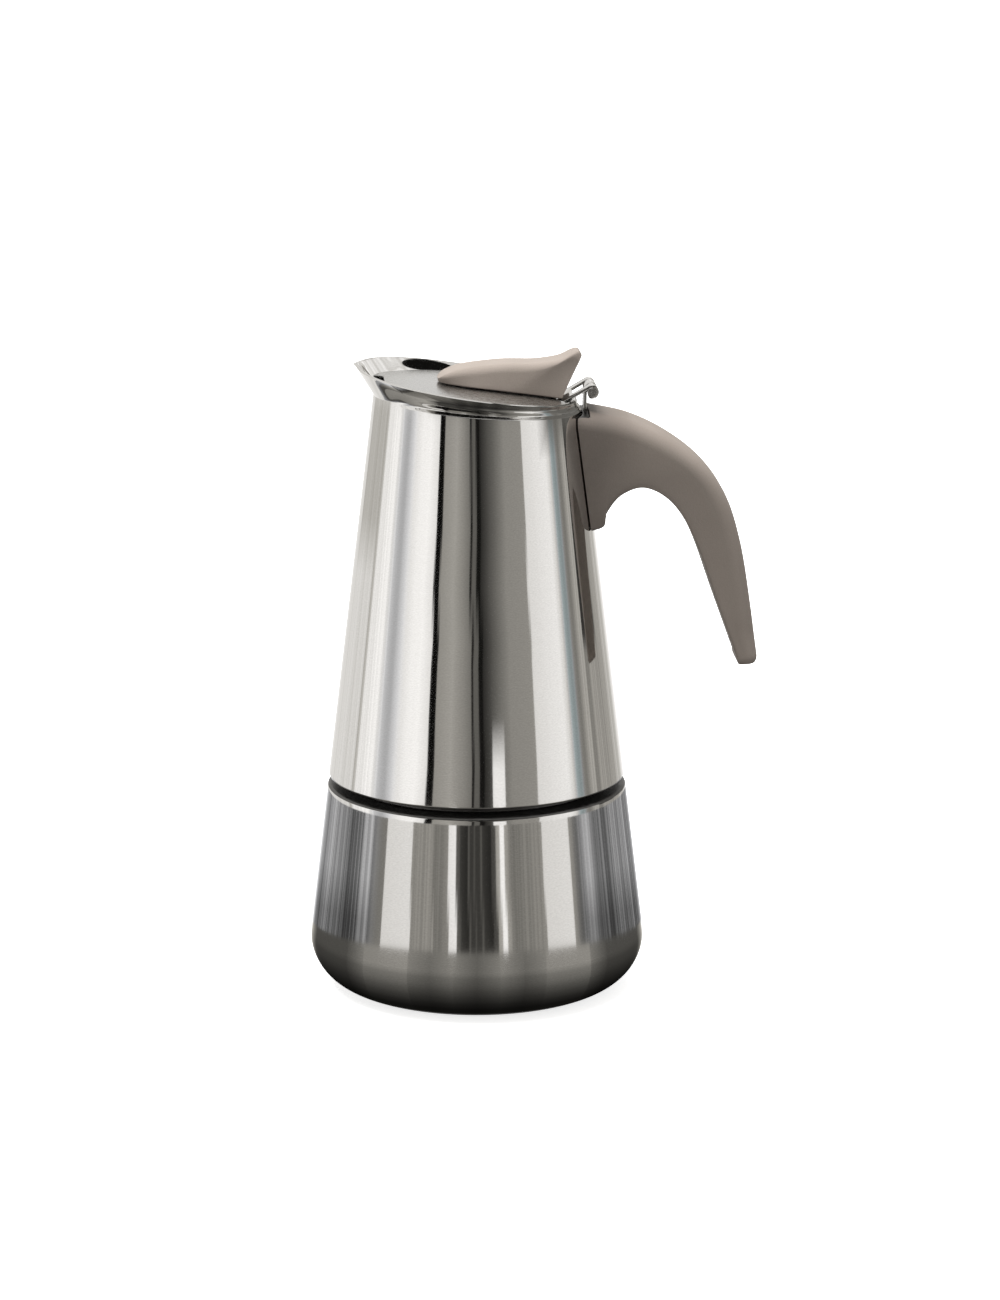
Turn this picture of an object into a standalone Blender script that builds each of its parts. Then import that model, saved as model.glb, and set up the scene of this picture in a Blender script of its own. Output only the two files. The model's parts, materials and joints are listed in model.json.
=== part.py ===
"""Stainless stove-top moka pot: boiler, funnel, jug with hinged lid, and a plastic handle and knob.

The origin is the centre of the base on the pot's axis. +Z is up, the handle is at +X and the spout at -X.
Every dimension below is in millimetres, and MM turns it into Blender's metres.
"""
import math

import bmesh
import bpy
from mathutils import Matrix, Vector

MM = 0.001
GAP = 0.35                       # air left between pieces that touch on the real pot
MERGE = 0.00001                  # merge distance of the Screw modifier, in metres

# --- boiler and jug: one straight cone on a rounded base ------------------------------------------
CONE_R = 49.89                   # cone radius where the base rounding ends
CONE_Z = 16.88
CONE_SLOPE = 0.1212              # radius lost per millimetre of height
CONE_ANGLE = math.atan(CONE_SLOPE)
BASE_ROUND = 15.07
BASE_FLAT_R = 34.93
BOILER_WALL = 1.2
SHOULDER_Z = 62.4
NECK_R = 38.0
NECK_BORE_R = 36.3
MOUTH_Z = 74.0
ROUND_STEPS = 48

# --- screw thread ---------------------------------------------------------------------------------
PITCH = 3.0
THREAD_POINTS = 18               # points in one turn of the thread ridge
THREAD_WIRE_R = 1.1
THREAD_TURNS = 2.25
BOILER_THREAD_R = 37.7
BOILER_THREAD_Z = 64.8
RING_THREAD_R = 40.3
RING_ROOT_R = 40.2
RING_THREAD_TURNS = 1.75

# --- jug ------------------------------------------------------------------------------------------
JUG_WALL = 1.0
JUG_BOTTOM_Z = 64.5
NECK_LINE_Z = 177.5              # crease under the collar, on the axis
NECK_LINE_SLOPE = -0.08
BEAK_NECK_DROP = 0.7             # the crease dips under the beak
RIM_Z = 182.16                   # rim plane, on the axis
RIM_SLOPE = -0.153
RIM_CENTRE_X = -4.0
RIM_A = 33.2
RIM_B = 33.4
BEAK_FLAT = 1.75                 # how far the beak's two faces cut into the round rim
BEAK_RIDGE = 0.5
BEAK_LIFT = 0.6                  # the beak's tip stands above the rim plane
FLARE_POWER = 1.8                # 1 is a straight flare, more bends it out near the rim
JUG_STEPS = 64
RING_TOP_Z = 78.1
FLOOR_Z = 78.4
FLOOR_TOP_Z = 80.6
FLOOR_HOLE_R = 7.4
RISER_TOP_Z = 150.0
RISER_FOOT_Z = 79.9
RISER_FOOT_R = 7.0
RISER_FLANGE_R = 9.5
RISER_TIP_R = 4.6
RISER_WALL = 1.0
CAP_R = 6.1
CAP_WALL = 0.95
CAP_FOOT_Z = 145.5
CAP_TOP_Z = 154.3

# --- funnel, gasket, filter -----------------------------------------------------------------------
FLANGE_R = 37.2
FLANGE_Z = MOUTH_Z + GAP
CUP_R = 35.8
CUP_BOTTOM_Z = 53.0
STEM_R = 5.0
STEM_BOTTOM_Z = 6.0
STEM_TOP_Z = 42.0
SOCKET_Z = 36.0                  # lower end of the cup's socket around the stem
FILTER_HOLE_R = 1.5
HOLE_SPACING = 12.0
GASKET_R = 37.0
GASKET_BORE_R = 29.0
GASKET_Z = 75.7
GASKET_T = 2.4

# --- lid and hinge --------------------------------------------------------------------------------
LID_T = 0.8
LID_EDGE_GAP = 0.5
LID_CENTRE_X = -1.0
LID_DROP = 0.8                   # lid crown below the rim plane
LID_TILT = 0.045                 # how much less the lid slopes than the rim plane
LID_DOME_R = 375.0
LID_STEPS = 64
SLOT_X = -27.0                   # pouring slot in the lid's front edge
SLOT_HALF = 7.0
TAIL_NOTCH_X = 23.4              # notch in the lid's rear edge for the hinge leaf
PIN_X = 33.5
PIN_Z = 180.3
PIN_R = 0.9
KNUCKLE_R = 2.0
SHEET_T = 0.8
LEAF_HALF = 8.0
LEAF_FOOT_X = 12.5
LEAF_SLOT_HALF = 3.9
STRAP_HALF = 3.5

# --- knob and handle ------------------------------------------------------------------------------
KNOB_NOSE_X = -11.2
KNOB_TAIL_X = 24.6
KNOB_HALF = 8.6
KNOB_EDGE = 2.4
KNOB_SCREWS = (("front", -3.0), ("rear", 8.0))
HANDLE_ROOT_HALF = 12.5
HANDLE_TIP_HALF = 7.6
HANDLE_EDGE = 5.2
HANDLE_SCREW_X = 46.0
TONGUE_Z = 158.0
TONGUE_END_X = 51.0

# --- safety valve, on the boiler's +Y side --------------------------------------------------------
VALVE_Z = 38.0
VALVE_R = 5.0
VALVE_HOLE_R = 5.35
VALVE_INNER_END = -8.0           # along the valve's axis, from the boiler's outer surface
VALVE_OUTER_END = 8.0
VALVE_BORE_R = 3.3
VALVE_SEAT = -4.5                # the bore narrows here, and the poppet rests on it
VALVE_SEAT_R = 1.4
VALVE_FLANGE = (1.4, 4.4)
VALVE_HEX_R = 7.5
NUT_HEX_R = 7.2
NUT_SPAN = (-5.2, -2.2)
POPPET_R = 2.8
POPPET_STEM_R = 0.75
SPRING_R = 2.05
SPRING_WIRE_R = 0.28
SPRING_PITCH = 1.7
SPRING_TURNS = 5.0


# --- shared shapes --------------------------------------------------------------------------------
def cone_r(z):
    """Outer radius of the pot's cone at height z."""
    return CONE_R - (z - CONE_Z) * CONE_SLOPE


def rim_plane(x):
    """Height of the jug's rim plane at x."""
    return RIM_Z + RIM_SLOPE * x


def lid_top(x, y):
    """Height of the lid's upper face."""
    along = x - LID_CENTRE_X
    fall = (along * along + y * y) / (2 * LID_DOME_R)
    return rim_plane(x) - LID_DROP + LID_TILT * along - fall


def smooth(low, high, value):
    """0 below low, 1 above high, and an eased step between them."""
    t = min(max((value - low) / (high - low), 0.0), 1.0)
    return t * t * (3 - 2 * t)


def arc(cx, cz, radius, start, end, count):
    """Points on an arc, with angles in degrees counted from +X towards +Z."""
    points = []
    for i in range(count + 1):
        angle = math.radians(start + (end - start) * i / count)
        points.append((cx + radius * math.cos(angle), cz + radius * math.sin(angle)))
    return points


def curve_through(points, per_span):
    """Catmull-Rom curve through the given (x, z) points."""
    ends = [points[0]] + list(points) + [points[-1]]
    result = []
    for i in range(1, len(ends) - 2):
        p0, p1, p2, p3 = (Vector(p) for p in ends[i - 1:i + 3])
        for k in range(per_span):
            t = k / per_span
            a = 2 * p1 + (p2 - p0) * t
            b = (2 * p0 - 5 * p1 + 4 * p2 - p3) * t * t
            c = (3 * p1 - p0 - 3 * p2 + p3) * t ** 3
            result.append(tuple((a + b + c) / 2))
    result.append(tuple(points[-1]))
    return result


# --- collections and materials --------------------------------------------------------------------
def clear_scene():
    for obj in list(bpy.data.objects):
        bpy.data.objects.remove(obj, do_unlink=True)


def make_collection(name):
    collection = bpy.data.collections.new(name)
    bpy.context.scene.collection.children.link(collection)
    return collection


def make_material(name, colour, roughness, metallic):
    material = bpy.data.materials.new(name)
    material.use_nodes = True
    shader = material.node_tree.nodes["Principled BSDF"]
    shader.inputs["Base Color"].default_value = (*colour, 1.0)
    shader.inputs["Roughness"].default_value = roughness
    shader.inputs["Metallic"].default_value = metallic
    return material


clear_scene()
PARTS = make_collection("moka_pot")
CUTTERS = make_collection("moka_pot_cutters")

POLISHED = make_material("polished_steel", (0.66, 0.65, 0.63), 0.12, 1.0)
SATIN = make_material("satin_steel", (0.58, 0.57, 0.55), 0.28, 1.0)
TAUPE = make_material("taupe_plastic", (0.29, 0.245, 0.215), 0.45, 0.0)
RUBBER = make_material("gasket_silicone", (0.78, 0.76, 0.70), 0.55, 0.0)
BRASS = make_material("valve_brass", (0.62, 0.50, 0.27), 0.30, 1.0)


# --- object helpers -------------------------------------------------------------------------------
def smooth_shade(mesh, degrees=35):
    mesh.shade_smooth()
    mesh.set_sharp_from_angle(angle=math.radians(degrees))


def add_object(name, mesh, material, collection=None):
    mesh.materials.clear()
    if material is not None:
        mesh.materials.append(material)
    obj = bpy.data.objects.new(name, mesh)
    (collection or PARTS).objects.link(obj)
    return obj


def as_cutter(obj):
    for collection in list(obj.users_collection):
        collection.objects.unlink(obj)
    CUTTERS.objects.link(obj)
    obj.hide_render = True
    obj.display_type = "WIRE"
    return obj


def boolean(target, tool, operation="DIFFERENCE"):
    modifier = target.modifiers.new(tool.name, "BOOLEAN")
    modifier.operation = operation
    modifier.object = tool
    return modifier


def turned(name, profile, material, steps=ROUND_STEPS, closed=True):
    """Turn (radius, z) points about Z. They run up the inside and down the outside."""
    mesh = bpy.data.meshes.new(name)
    vertices = [(r * MM, 0.0, z * MM) for r, z in profile]
    edges = [(i, i + 1) for i in range(len(profile) - 1)]
    if closed:
        edges.append((len(profile) - 1, 0))
    mesh.from_pydata(vertices, edges, [])
    obj = add_object(name, mesh, material)
    screw = obj.modifiers.new("turn", "SCREW")
    screw.steps = steps
    screw.render_steps = steps
    screw.use_merge_vertices = True
    screw.merge_threshold = MERGE
    screw.use_smooth_shade = True
    return obj


def skin_rings(name, rings, material, closed_path):
    """Skin a row of unlike closed sections. A closed path joins the last to the first."""
    mesh = bpy.data.meshes.new(name)
    bm = bmesh.new()
    rows = [[bm.verts.new(Vector(p) * MM) for p in ring] for ring in rings]
    count = len(rows[0])
    spans = len(rows) if closed_path else len(rows) - 1
    for i in range(spans):
        a = rows[i]
        b = rows[(i + 1) % len(rows)]
        for k in range(count):
            n = (k + 1) % count
            bm.faces.new((a[k], a[n], b[n], b[k]))
    if not closed_path:
        bm.faces.new(rows[0])
        bm.faces.new(list(reversed(rows[-1])))
    bmesh.ops.recalc_face_normals(bm, faces=bm.faces)
    bm.to_mesh(mesh)
    bm.free()
    smooth_shade(mesh)
    return add_object(name, mesh, material)


def extruded(name, outline, half_width, material):
    """A flat (x, z) outline, filled and extruded both ways along Y."""
    data = bpy.data.curves.new(name, "CURVE")
    data.dimensions = "2D"
    data.fill_mode = "BOTH"
    data.extrude = half_width * MM
    spline = data.splines.new("POLY")
    spline.points.add(len(outline) - 1)
    for point, (x, z) in zip(spline.points, outline):
        point.co = (x * MM, z * MM, 0.0, 1.0)
    spline.use_cyclic_u = True
    curve = bpy.data.objects.new(name + "_outline", data)
    PARTS.objects.link(curve)
    curve.rotation_euler = (math.radians(90), 0.0, 0.0)
    return curve_to_mesh(curve, name, material)


def curve_to_mesh(curve, name, material):
    """Turn a curve object into a welded mesh object in the same place, and remove the curve."""
    bpy.context.view_layer.update()
    depsgraph = bpy.context.evaluated_depsgraph_get()
    mesh = bpy.data.meshes.new_from_object(curve.evaluated_get(depsgraph))
    bm = bmesh.new()
    bm.from_mesh(mesh)
    bmesh.ops.remove_doubles(bm, verts=bm.verts, dist=MERGE)
    bmesh.ops.recalc_face_normals(bm, faces=bm.faces)
    bm.to_mesh(mesh)
    bm.free()
    mesh.name = name
    obj = add_object(name, mesh, material)
    obj.matrix_world = curve.matrix_world.copy()
    bpy.data.objects.remove(curve, do_unlink=True)
    return obj


def helix(name, radius, wire_r, start_z, pitch, turns, per_turn, taper, material, sides=2):
    """A right-hand coil of round wire about Z, whose ends taper off over the given turns."""
    data = bpy.data.curves.new(name, "CURVE")
    data.dimensions = "3D"
    data.bevel_depth = wire_r * MM
    data.bevel_resolution = sides
    data.use_fill_caps = True
    count = int(round(turns * per_turn))
    spline = data.splines.new("POLY")
    spline.points.add(count)
    for i, point in enumerate(spline.points):
        turn = i / per_turn
        angle = 2 * math.pi * turn
        height = start_z + pitch * turn
        point.co = (radius * math.cos(angle) * MM, radius * math.sin(angle) * MM, height * MM, 1.0)
        if taper:
            point.radius = max(0.4, smooth(0.0, taper, min(turn, turns - turn)))
    curve = bpy.data.objects.new(name + "_path", data)
    PARTS.objects.link(curve)
    return curve_to_mesh(curve, name, material)


def cylinder(name, radius, low, high, centre=(0.0, 0.0), vertices=24, material=None):
    """An upright cylinder from low to high, around the (x, y) centre."""
    middle = (low + high) / 2
    bpy.ops.mesh.primitive_cylinder_add(
        vertices=vertices, radius=radius * MM, depth=(high - low) * MM,
        location=Vector((*centre, middle)) * MM)
    obj = bpy.context.active_object
    obj.name = name
    for collection in list(obj.users_collection):
        collection.objects.unlink(obj)
    PARTS.objects.link(obj)
    if material is not None:
        obj.data.materials.append(material)
    smooth_shade(obj.data)
    return obj


def box_cutter(name, low, high):
    """A box cutter between two corners."""
    size = [h - l for l, h in zip(low, high)]
    centre = [(h + l) / 2 for l, h in zip(low, high)]
    bpy.ops.mesh.primitive_cube_add(size=1.0, location=Vector(centre) * MM)
    obj = bpy.context.active_object
    obj.name = name
    obj.data.transform(Matrix.Diagonal((*[s * MM for s in size], 1.0)))
    return as_cutter(obj)


def strip_outline(path, thickness):
    """Closed outline of a bent sheet whose middle runs along an (x, z) path."""
    left = []
    right = []
    for i, point in enumerate(path):
        before = Vector(path[max(i - 1, 0)])
        after = Vector(path[min(i + 1, len(path) - 1)])
        along = (after - before).normalized()
        side = Vector((-along.y, along.x)) * thickness / 2
        left.append(tuple(Vector(point) + side))
        right.append(tuple(Vector(point) - side))
    return left + right[::-1]


def hole_rings(spacing, rings):
    """Centres of a hole pattern: one in the middle and 6, 12, ... around it."""
    centres = [(0.0, 0.0)]
    for ring in range(1, rings + 1):
        for i in range(6 * ring):
            angle = 2 * math.pi * i / (6 * ring)
            centres.append((spacing * ring * math.cos(angle), spacing * ring * math.sin(angle)))
    return centres


def perforate(plate, name, spacing, rings, low, high):
    """Cut a ring pattern of small holes with one joined cutter."""
    mesh = bpy.data.meshes.new(name)
    bm = bmesh.new()
    for x, y in hole_rings(spacing, rings):
        place = Matrix.Translation(Vector((x, y, (low + high) / 2)) * MM)
        bmesh.ops.create_cone(
            bm, cap_ends=True, segments=6, radius1=FILTER_HOLE_R * MM, radius2=FILTER_HOLE_R * MM,
            depth=(high - low) * MM, matrix=place)
    bm.to_mesh(mesh)
    bm.free()
    boolean(plate, as_cutter(add_object(name, mesh, None)))


# --- boiler ---------------------------------------------------------------------------------------
def make_boiler():
    tilt = math.degrees(CONE_ANGLE)
    inner_round = BASE_ROUND - BOILER_WALL
    inside = [(0.0, BOILER_WALL)] + arc(BASE_FLAT_R, BASE_ROUND, inner_round, -90, tilt, 5)
    under_shoulder = SHOULDER_Z - 1.6
    inside += [
        (cone_r(under_shoulder) - BOILER_WALL, under_shoulder),
        (NECK_BORE_R, SHOULDER_Z - 0.9),
        (NECK_BORE_R, MOUTH_Z - 0.3),
        (NECK_BORE_R + 0.3, MOUTH_Z),
    ]
    outside = [
        (NECK_R - 0.3, MOUTH_Z),
        (NECK_R, MOUTH_Z - 0.3),
        (NECK_R, SHOULDER_Z + 0.6),
        (NECK_R + 0.6, SHOULDER_Z + 0.1),
        (cone_r(SHOULDER_Z) - 0.9, SHOULDER_Z),
        (cone_r(SHOULDER_Z) - 0.25, SHOULDER_Z - 0.25),
        (cone_r(SHOULDER_Z - 0.9), SHOULDER_Z - 0.9),
    ]
    outside += arc(BASE_FLAT_R, BASE_ROUND, BASE_ROUND, tilt, -90, 8) + [(0.0, 0.0)]
    boiler = turned("boiler_body", inside + outside, POLISHED, closed=False)
    ridge = helix("boiler_thread_ridge", BOILER_THREAD_R, THREAD_WIRE_R, BOILER_THREAD_Z, PITCH,
                  THREAD_TURNS, THREAD_POINTS, 0.2, SATIN, 1)
    boolean(boiler, as_cutter(ridge), "UNION")
    bore = cylinder("valve_hole", VALVE_HOLE_R, -6, 6, vertices=20)
    place_on_valve_axis(as_cutter(bore))
    boolean(boiler, bore)


# --- safety valve ---------------------------------------------------------------------------------
def valve_matrix():
    """Local +Z is the outward normal of the boiler wall, and the local origin is on its surface."""
    turn = Matrix.Rotation(-(math.pi / 2 - CONE_ANGLE), 4, "X")
    return Matrix.Translation(Vector((0.0, cone_r(VALVE_Z), VALVE_Z)) * MM) @ turn


def place_on_valve_axis(obj):
    obj.matrix_world = valve_matrix() @ obj.matrix_world
    return obj


def make_valve():
    low, high = VALVE_FLANGE
    cap_r = VALVE_R - 0.4
    body = turned("valve_body", [
        (0.0, VALVE_OUTER_END), (cap_r - 0.3, VALVE_OUTER_END), (cap_r, VALVE_OUTER_END - 0.4),
        (cap_r, high + 0.4), (VALVE_R - 0.1, high), (VALVE_R + 1.5, high), (VALVE_R + 1.5, low),
        (VALVE_R, low), (VALVE_R, VALVE_INNER_END + 0.3), (VALVE_R - 0.3, VALVE_INNER_END),
        (0.0, VALVE_INNER_END)], BRASS, 24, closed=False)
    place_on_valve_axis(body)
    hexagon = cylinder("valve_hexagon", VALVE_HEX_R, low - 0.05, high + 0.05, vertices=6)
    boolean(body, place_on_valve_axis(as_cutter(hexagon)), "UNION")
    bore = turned("valve_bore", [
        (0.0, VALVE_OUTER_END + 1), (VALVE_BORE_R, VALVE_OUTER_END + 1), (VALVE_BORE_R, VALVE_SEAT),
        (VALVE_SEAT_R, VALVE_SEAT), (VALVE_SEAT_R, VALVE_INNER_END - 1), (0.0, VALVE_INNER_END - 1)],
        None, 20, closed=False)
    boolean(body, place_on_valve_axis(as_cutter(bore)))

    ring_r = VALVE_R + 0.4
    ring_top = low - GAP
    washer = turned("valve_washer", [
        (ring_r, GAP), (ring_r, ring_top), (ring_r + 1.8, ring_top), (ring_r + 1.8, GAP)], RUBBER, 24)
    place_on_valve_axis(washer)

    nut = cylinder("valve_nut", NUT_HEX_R, *NUT_SPAN, vertices=6, material=BRASS)
    place_on_valve_axis(nut)
    nut_bore = cylinder("valve_nut_bore", VALVE_HOLE_R, NUT_SPAN[0] - 1, NUT_SPAN[1] + 1, vertices=24)
    boolean(nut, place_on_valve_axis(as_cutter(nut_bore)))

    face = VALVE_SEAT + GAP
    shoulder = face + 0.95
    tip = VALVE_OUTER_END + 1.0
    poppet = turned("valve_poppet", [
        (0.0, tip), (0.5, tip), (POPPET_STEM_R, tip - 0.3), (POPPET_STEM_R, shoulder),
        (POPPET_R, shoulder), (POPPET_R, face + 0.25), (POPPET_R - 0.2, face), (0.0, face)],
        BRASS, 16, closed=False)
    place_on_valve_axis(poppet)

    clip_top = VALVE_OUTER_END - 0.8
    clip_r = VALVE_BORE_R - GAP
    retainer = turned("valve_retainer", [
        (POPPET_STEM_R + GAP, clip_top - 0.8), (POPPET_STEM_R + GAP, clip_top), (clip_r, clip_top),
        (clip_r, clip_top - 0.8)], BRASS, 20)
    place_on_valve_axis(retainer)

    coil_low = shoulder + SPRING_WIRE_R + GAP
    spring = helix("valve_spring", SPRING_R, SPRING_WIRE_R, coil_low, SPRING_PITCH, SPRING_TURNS, 10,
                   0.0, SATIN, 1)
    place_on_valve_axis(spring)


# --- funnel ---------------------------------------------------------------------------------------
def make_funnel():
    top = FLANGE_Z + 1.0
    cone_top = CUP_BOTTOM_Z - 0.8
    socket = STEM_R + 0.4
    turned("funnel_cup", [
        (socket, SOCKET_Z), (socket, STEM_TOP_Z + 0.2), (33.6, cone_top), (34.6, CUP_BOTTOM_Z + 1.5),
        (CUP_R - 1.0, top), (FLANGE_R, top), (FLANGE_R, FLANGE_Z), (CUP_R, FLANGE_Z),
        (CUP_R - 0.2, CUP_BOTTOM_Z + 1.0), (34.4, cone_top - 0.8), (socket + 1.2, STEM_TOP_Z - 0.6),
        (socket + 1.2, SOCKET_Z)], SATIN, 48)
    stem_bore = STEM_R - 0.9
    turned("funnel_stem", [
        (stem_bore, STEM_BOTTOM_Z), (stem_bore, STEM_TOP_Z), (STEM_R, STEM_TOP_Z), (STEM_R, STEM_BOTTOM_Z)],
        SATIN, 24)
    plate_z = CUP_BOTTOM_Z
    plate = cylinder("funnel_filter_plate", 33.6, plate_z, plate_z + 0.8, vertices=40, material=SATIN)
    perforate(plate, "funnel_filter_holes", HOLE_SPACING, 2, plate_z - 1.0, plate_z + 2.0)


# --- gasket, upper filter, jug floor --------------------------------------------------------------
def make_seal():
    top = GASKET_Z + GASKET_T
    turned("gasket", [
        (GASKET_BORE_R, GASKET_Z), (GASKET_BORE_R, top), (GASKET_R, top), (GASKET_R, GASKET_Z)], RUBBER, 48)
    plate = cylinder("upper_filter_plate", 32.0, top + 0.3, top + 1.0, vertices=40, material=SATIN)
    perforate(plate, "upper_filter_holes", HOLE_SPACING, 2, top - 1.0, top + 2.0)


def make_thread_ring():
    low = JUG_BOTTOM_Z + 0.4
    margin = JUG_WALL + GAP
    ring = turned("jug_thread_ring", [
        (RING_ROOT_R, low), (RING_ROOT_R, RING_TOP_Z), (cone_r(RING_TOP_Z) - margin, RING_TOP_Z),
        (cone_r(low) - margin, low)], SATIN)
    ridge = helix("ring_thread_ridge", RING_THREAD_R, THREAD_WIRE_R, BOILER_THREAD_Z + PITCH / 2, PITCH,
                  RING_THREAD_TURNS, THREAD_POINTS, 0.2, SATIN, 1)
    boolean(ring, as_cutter(ridge), "UNION")


def make_jug_floor():
    turned("jug_floor", [
        (FLOOR_HOLE_R, FLOOR_Z + 1.2), (FLOOR_HOLE_R, FLOOR_TOP_Z), (40.7, FLOOR_TOP_Z), (40.7, FLOOR_Z),
        (33.4, FLOOR_Z), (32.6, FLOOR_Z + 1.2)], SATIN, 48)
    foot_bore = RISER_FOOT_R - 1.2
    neck_z = FLOOR_TOP_Z + 2.4
    turned("riser_tube", [
        (foot_bore, RISER_FOOT_Z), (foot_bore, neck_z), (RISER_TIP_R - RISER_WALL, RISER_TOP_Z),
        (RISER_TIP_R, RISER_TOP_Z), (RISER_FOOT_R, neck_z), (RISER_FLANGE_R, neck_z - 1.0),
        (RISER_FLANGE_R, neck_z - 2.0), (RISER_FOOT_R, neck_z - 2.0), (RISER_FOOT_R, RISER_FOOT_Z)],
        SATIN, 24)
    inner = CAP_R - CAP_WALL
    cap = turned("riser_cap", [
        (0.0, CAP_TOP_Z - 1.1), (inner / 2, CAP_TOP_Z - 1.4), (inner - 0.85, CAP_TOP_Z - 2.6),
        (inner, CAP_TOP_Z - 4.7), (inner, CAP_FOOT_Z), (CAP_R, CAP_FOOT_Z), (CAP_R, CAP_TOP_Z - 4.1),
        (CAP_R - 0.9, CAP_TOP_Z - 1.8), (CAP_R / 2, CAP_TOP_Z - 0.4), (0.0, CAP_TOP_Z)],
        SATIN, 24, closed=False)
    slot = box_cutter("riser_cap_slot", (-1.6, -9.0, 147.5), (1.6, 9.0, 151.5))
    boolean(cap, slot)


# --- jug body: cone, collar and beak --------------------------------------------------------------
def beak_angle(phi):
    """Degrees away from the spout direction."""
    return abs(180.0 - math.degrees(phi) % 360.0)


def rim_r(phi):
    """Distance of the rim from the pot's axis in the direction phi."""
    c = math.cos(phi) / RIM_A
    s = math.sin(phi) / RIM_B
    offset = RIM_CENTRE_X / RIM_A
    a = c * c + s * s
    b = -2 * c * offset
    root = (-b + math.sqrt(b * b - 4 * a * (offset * offset - 1))) / (2 * a)
    away = beak_angle(phi)
    flat = BEAK_FLAT * (1 - smooth(8, 52, away))
    ridge = BEAK_RIDGE * (1 - smooth(0, 7, away))
    return root - flat + ridge


def neck_point(phi):
    """Radius and height of the crease where the collar leaves the cone."""
    z = NECK_LINE_Z
    for _ in range(6):
        z = NECK_LINE_Z + NECK_LINE_SLOPE * cone_r(z) * math.cos(phi)
    z -= BEAK_NECK_DROP * (1 - smooth(10, 40, beak_angle(phi)))
    return cone_r(z), z


def collar_point(phi, u):
    """Outer surface of the collar, from the crease (u = 0) to the rim (u = 1)."""
    neck, low = neck_point(phi)
    rim = rim_r(phi)
    high = rim_plane(rim * math.cos(phi)) + BEAK_LIFT * (1 - smooth(0, 20, beak_angle(phi)))
    power = 1 + (FLARE_POWER - 1) * smooth(28, 46, beak_angle(phi))
    return neck + (rim - neck) * u ** power, low + (high - low) * u


def jug_section(phi):
    """Closed (radius, z) section of the jug's wall in the direction phi."""
    levels = (0.0, 0.2, 0.4, 0.6, 0.8, 0.97)
    outer = [(cone_r(JUG_BOTTOM_Z) - 0.3, JUG_BOTTOM_Z), (cone_r(JUG_BOTTOM_Z + 0.5), JUG_BOTTOM_Z + 0.5)]
    outer += [collar_point(phi, u) for u in levels]
    rim, top = collar_point(phi, 1.0)
    lip = [(rim - 0.25, top), (rim - JUG_WALL + 0.25, top)]
    inner = [(r - JUG_WALL, z) for r, z in outer[::-1]]
    return outer + lip + inner


def make_jug_body():
    rings = []
    for i in range(JUG_STEPS):
        phi = 2 * math.pi * i / JUG_STEPS
        section = jug_section(phi)
        rings.append([(r * math.cos(phi), r * math.sin(phi), z) for r, z in section])
    skin_rings("jug_body", rings, POLISHED, closed_path=True)


# --- lid ------------------------------------------------------------------------------------------
def collar_inside_r(phi, height):
    """Radius of the collar's inner face at a height."""
    neck, low = neck_point(phi)
    top = rim_plane(rim_r(phi) * math.cos(phi))
    u = min(max((height - low) / (top - low), 0.0), 1.0)
    return collar_point(phi, u)[0] - JUG_WALL


def lid_edge_r(phi):
    """Radius of the lid's edge, which follows the collar's inner face."""
    r = 30.0
    for _ in range(8):
        x = r * math.cos(phi)
        y = r * math.sin(phi)
        r = collar_inside_r(phi, lid_top(x, y) - LID_T) - LID_EDGE_GAP
    return min(r, 32.0)


def make_lid():
    mesh = bpy.data.meshes.new("lid_plate")
    bm = bmesh.new()
    fractions = (0.3, 0.6, 0.85, 1.0)
    centre = bm.verts.new(Vector((0.0, 0.0, lid_top(0, 0))) * MM)
    rows = []
    for fraction in fractions:
        row = []
        for i in range(LID_STEPS):
            phi = 2 * math.pi * i / LID_STEPS
            r = lid_edge_r(phi) * fraction
            x = r * math.cos(phi)
            y = r * math.sin(phi)
            row.append(bm.verts.new(Vector((x, y, lid_top(x, y))) * MM))
        rows.append(row)
    for i in range(LID_STEPS):
        n = (i + 1) % LID_STEPS
        bm.faces.new((centre, rows[0][i], rows[0][n]))
        for a, b in zip(rows, rows[1:]):
            bm.faces.new((a[i], b[i], b[n], a[n]))
    bm.to_mesh(mesh)
    bm.free()
    smooth_shade(mesh)
    lid = add_object("lid_plate", mesh, POLISHED)
    shell = lid.modifiers.new("sheet", "SOLIDIFY")
    shell.thickness = LID_T * MM
    shell.offset = -1.0
    boolean(lid, box_cutter("pouring_slot", (-45, -SLOT_HALF, 170), (SLOT_X, SLOT_HALF, 195)))
    boolean(lid, box_cutter("leaf_notch", (TAIL_NOTCH_X, -LEAF_HALF - 0.5, 165),
                            (45, LEAF_HALF + 0.5, 190)))
    for name, x in KNOB_SCREWS:
        hole = cylinder(f"lid_hole_{name}", 1.7, 170, 190, (x, 0.0), 12)
        boolean(lid, as_cutter(hole))


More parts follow.
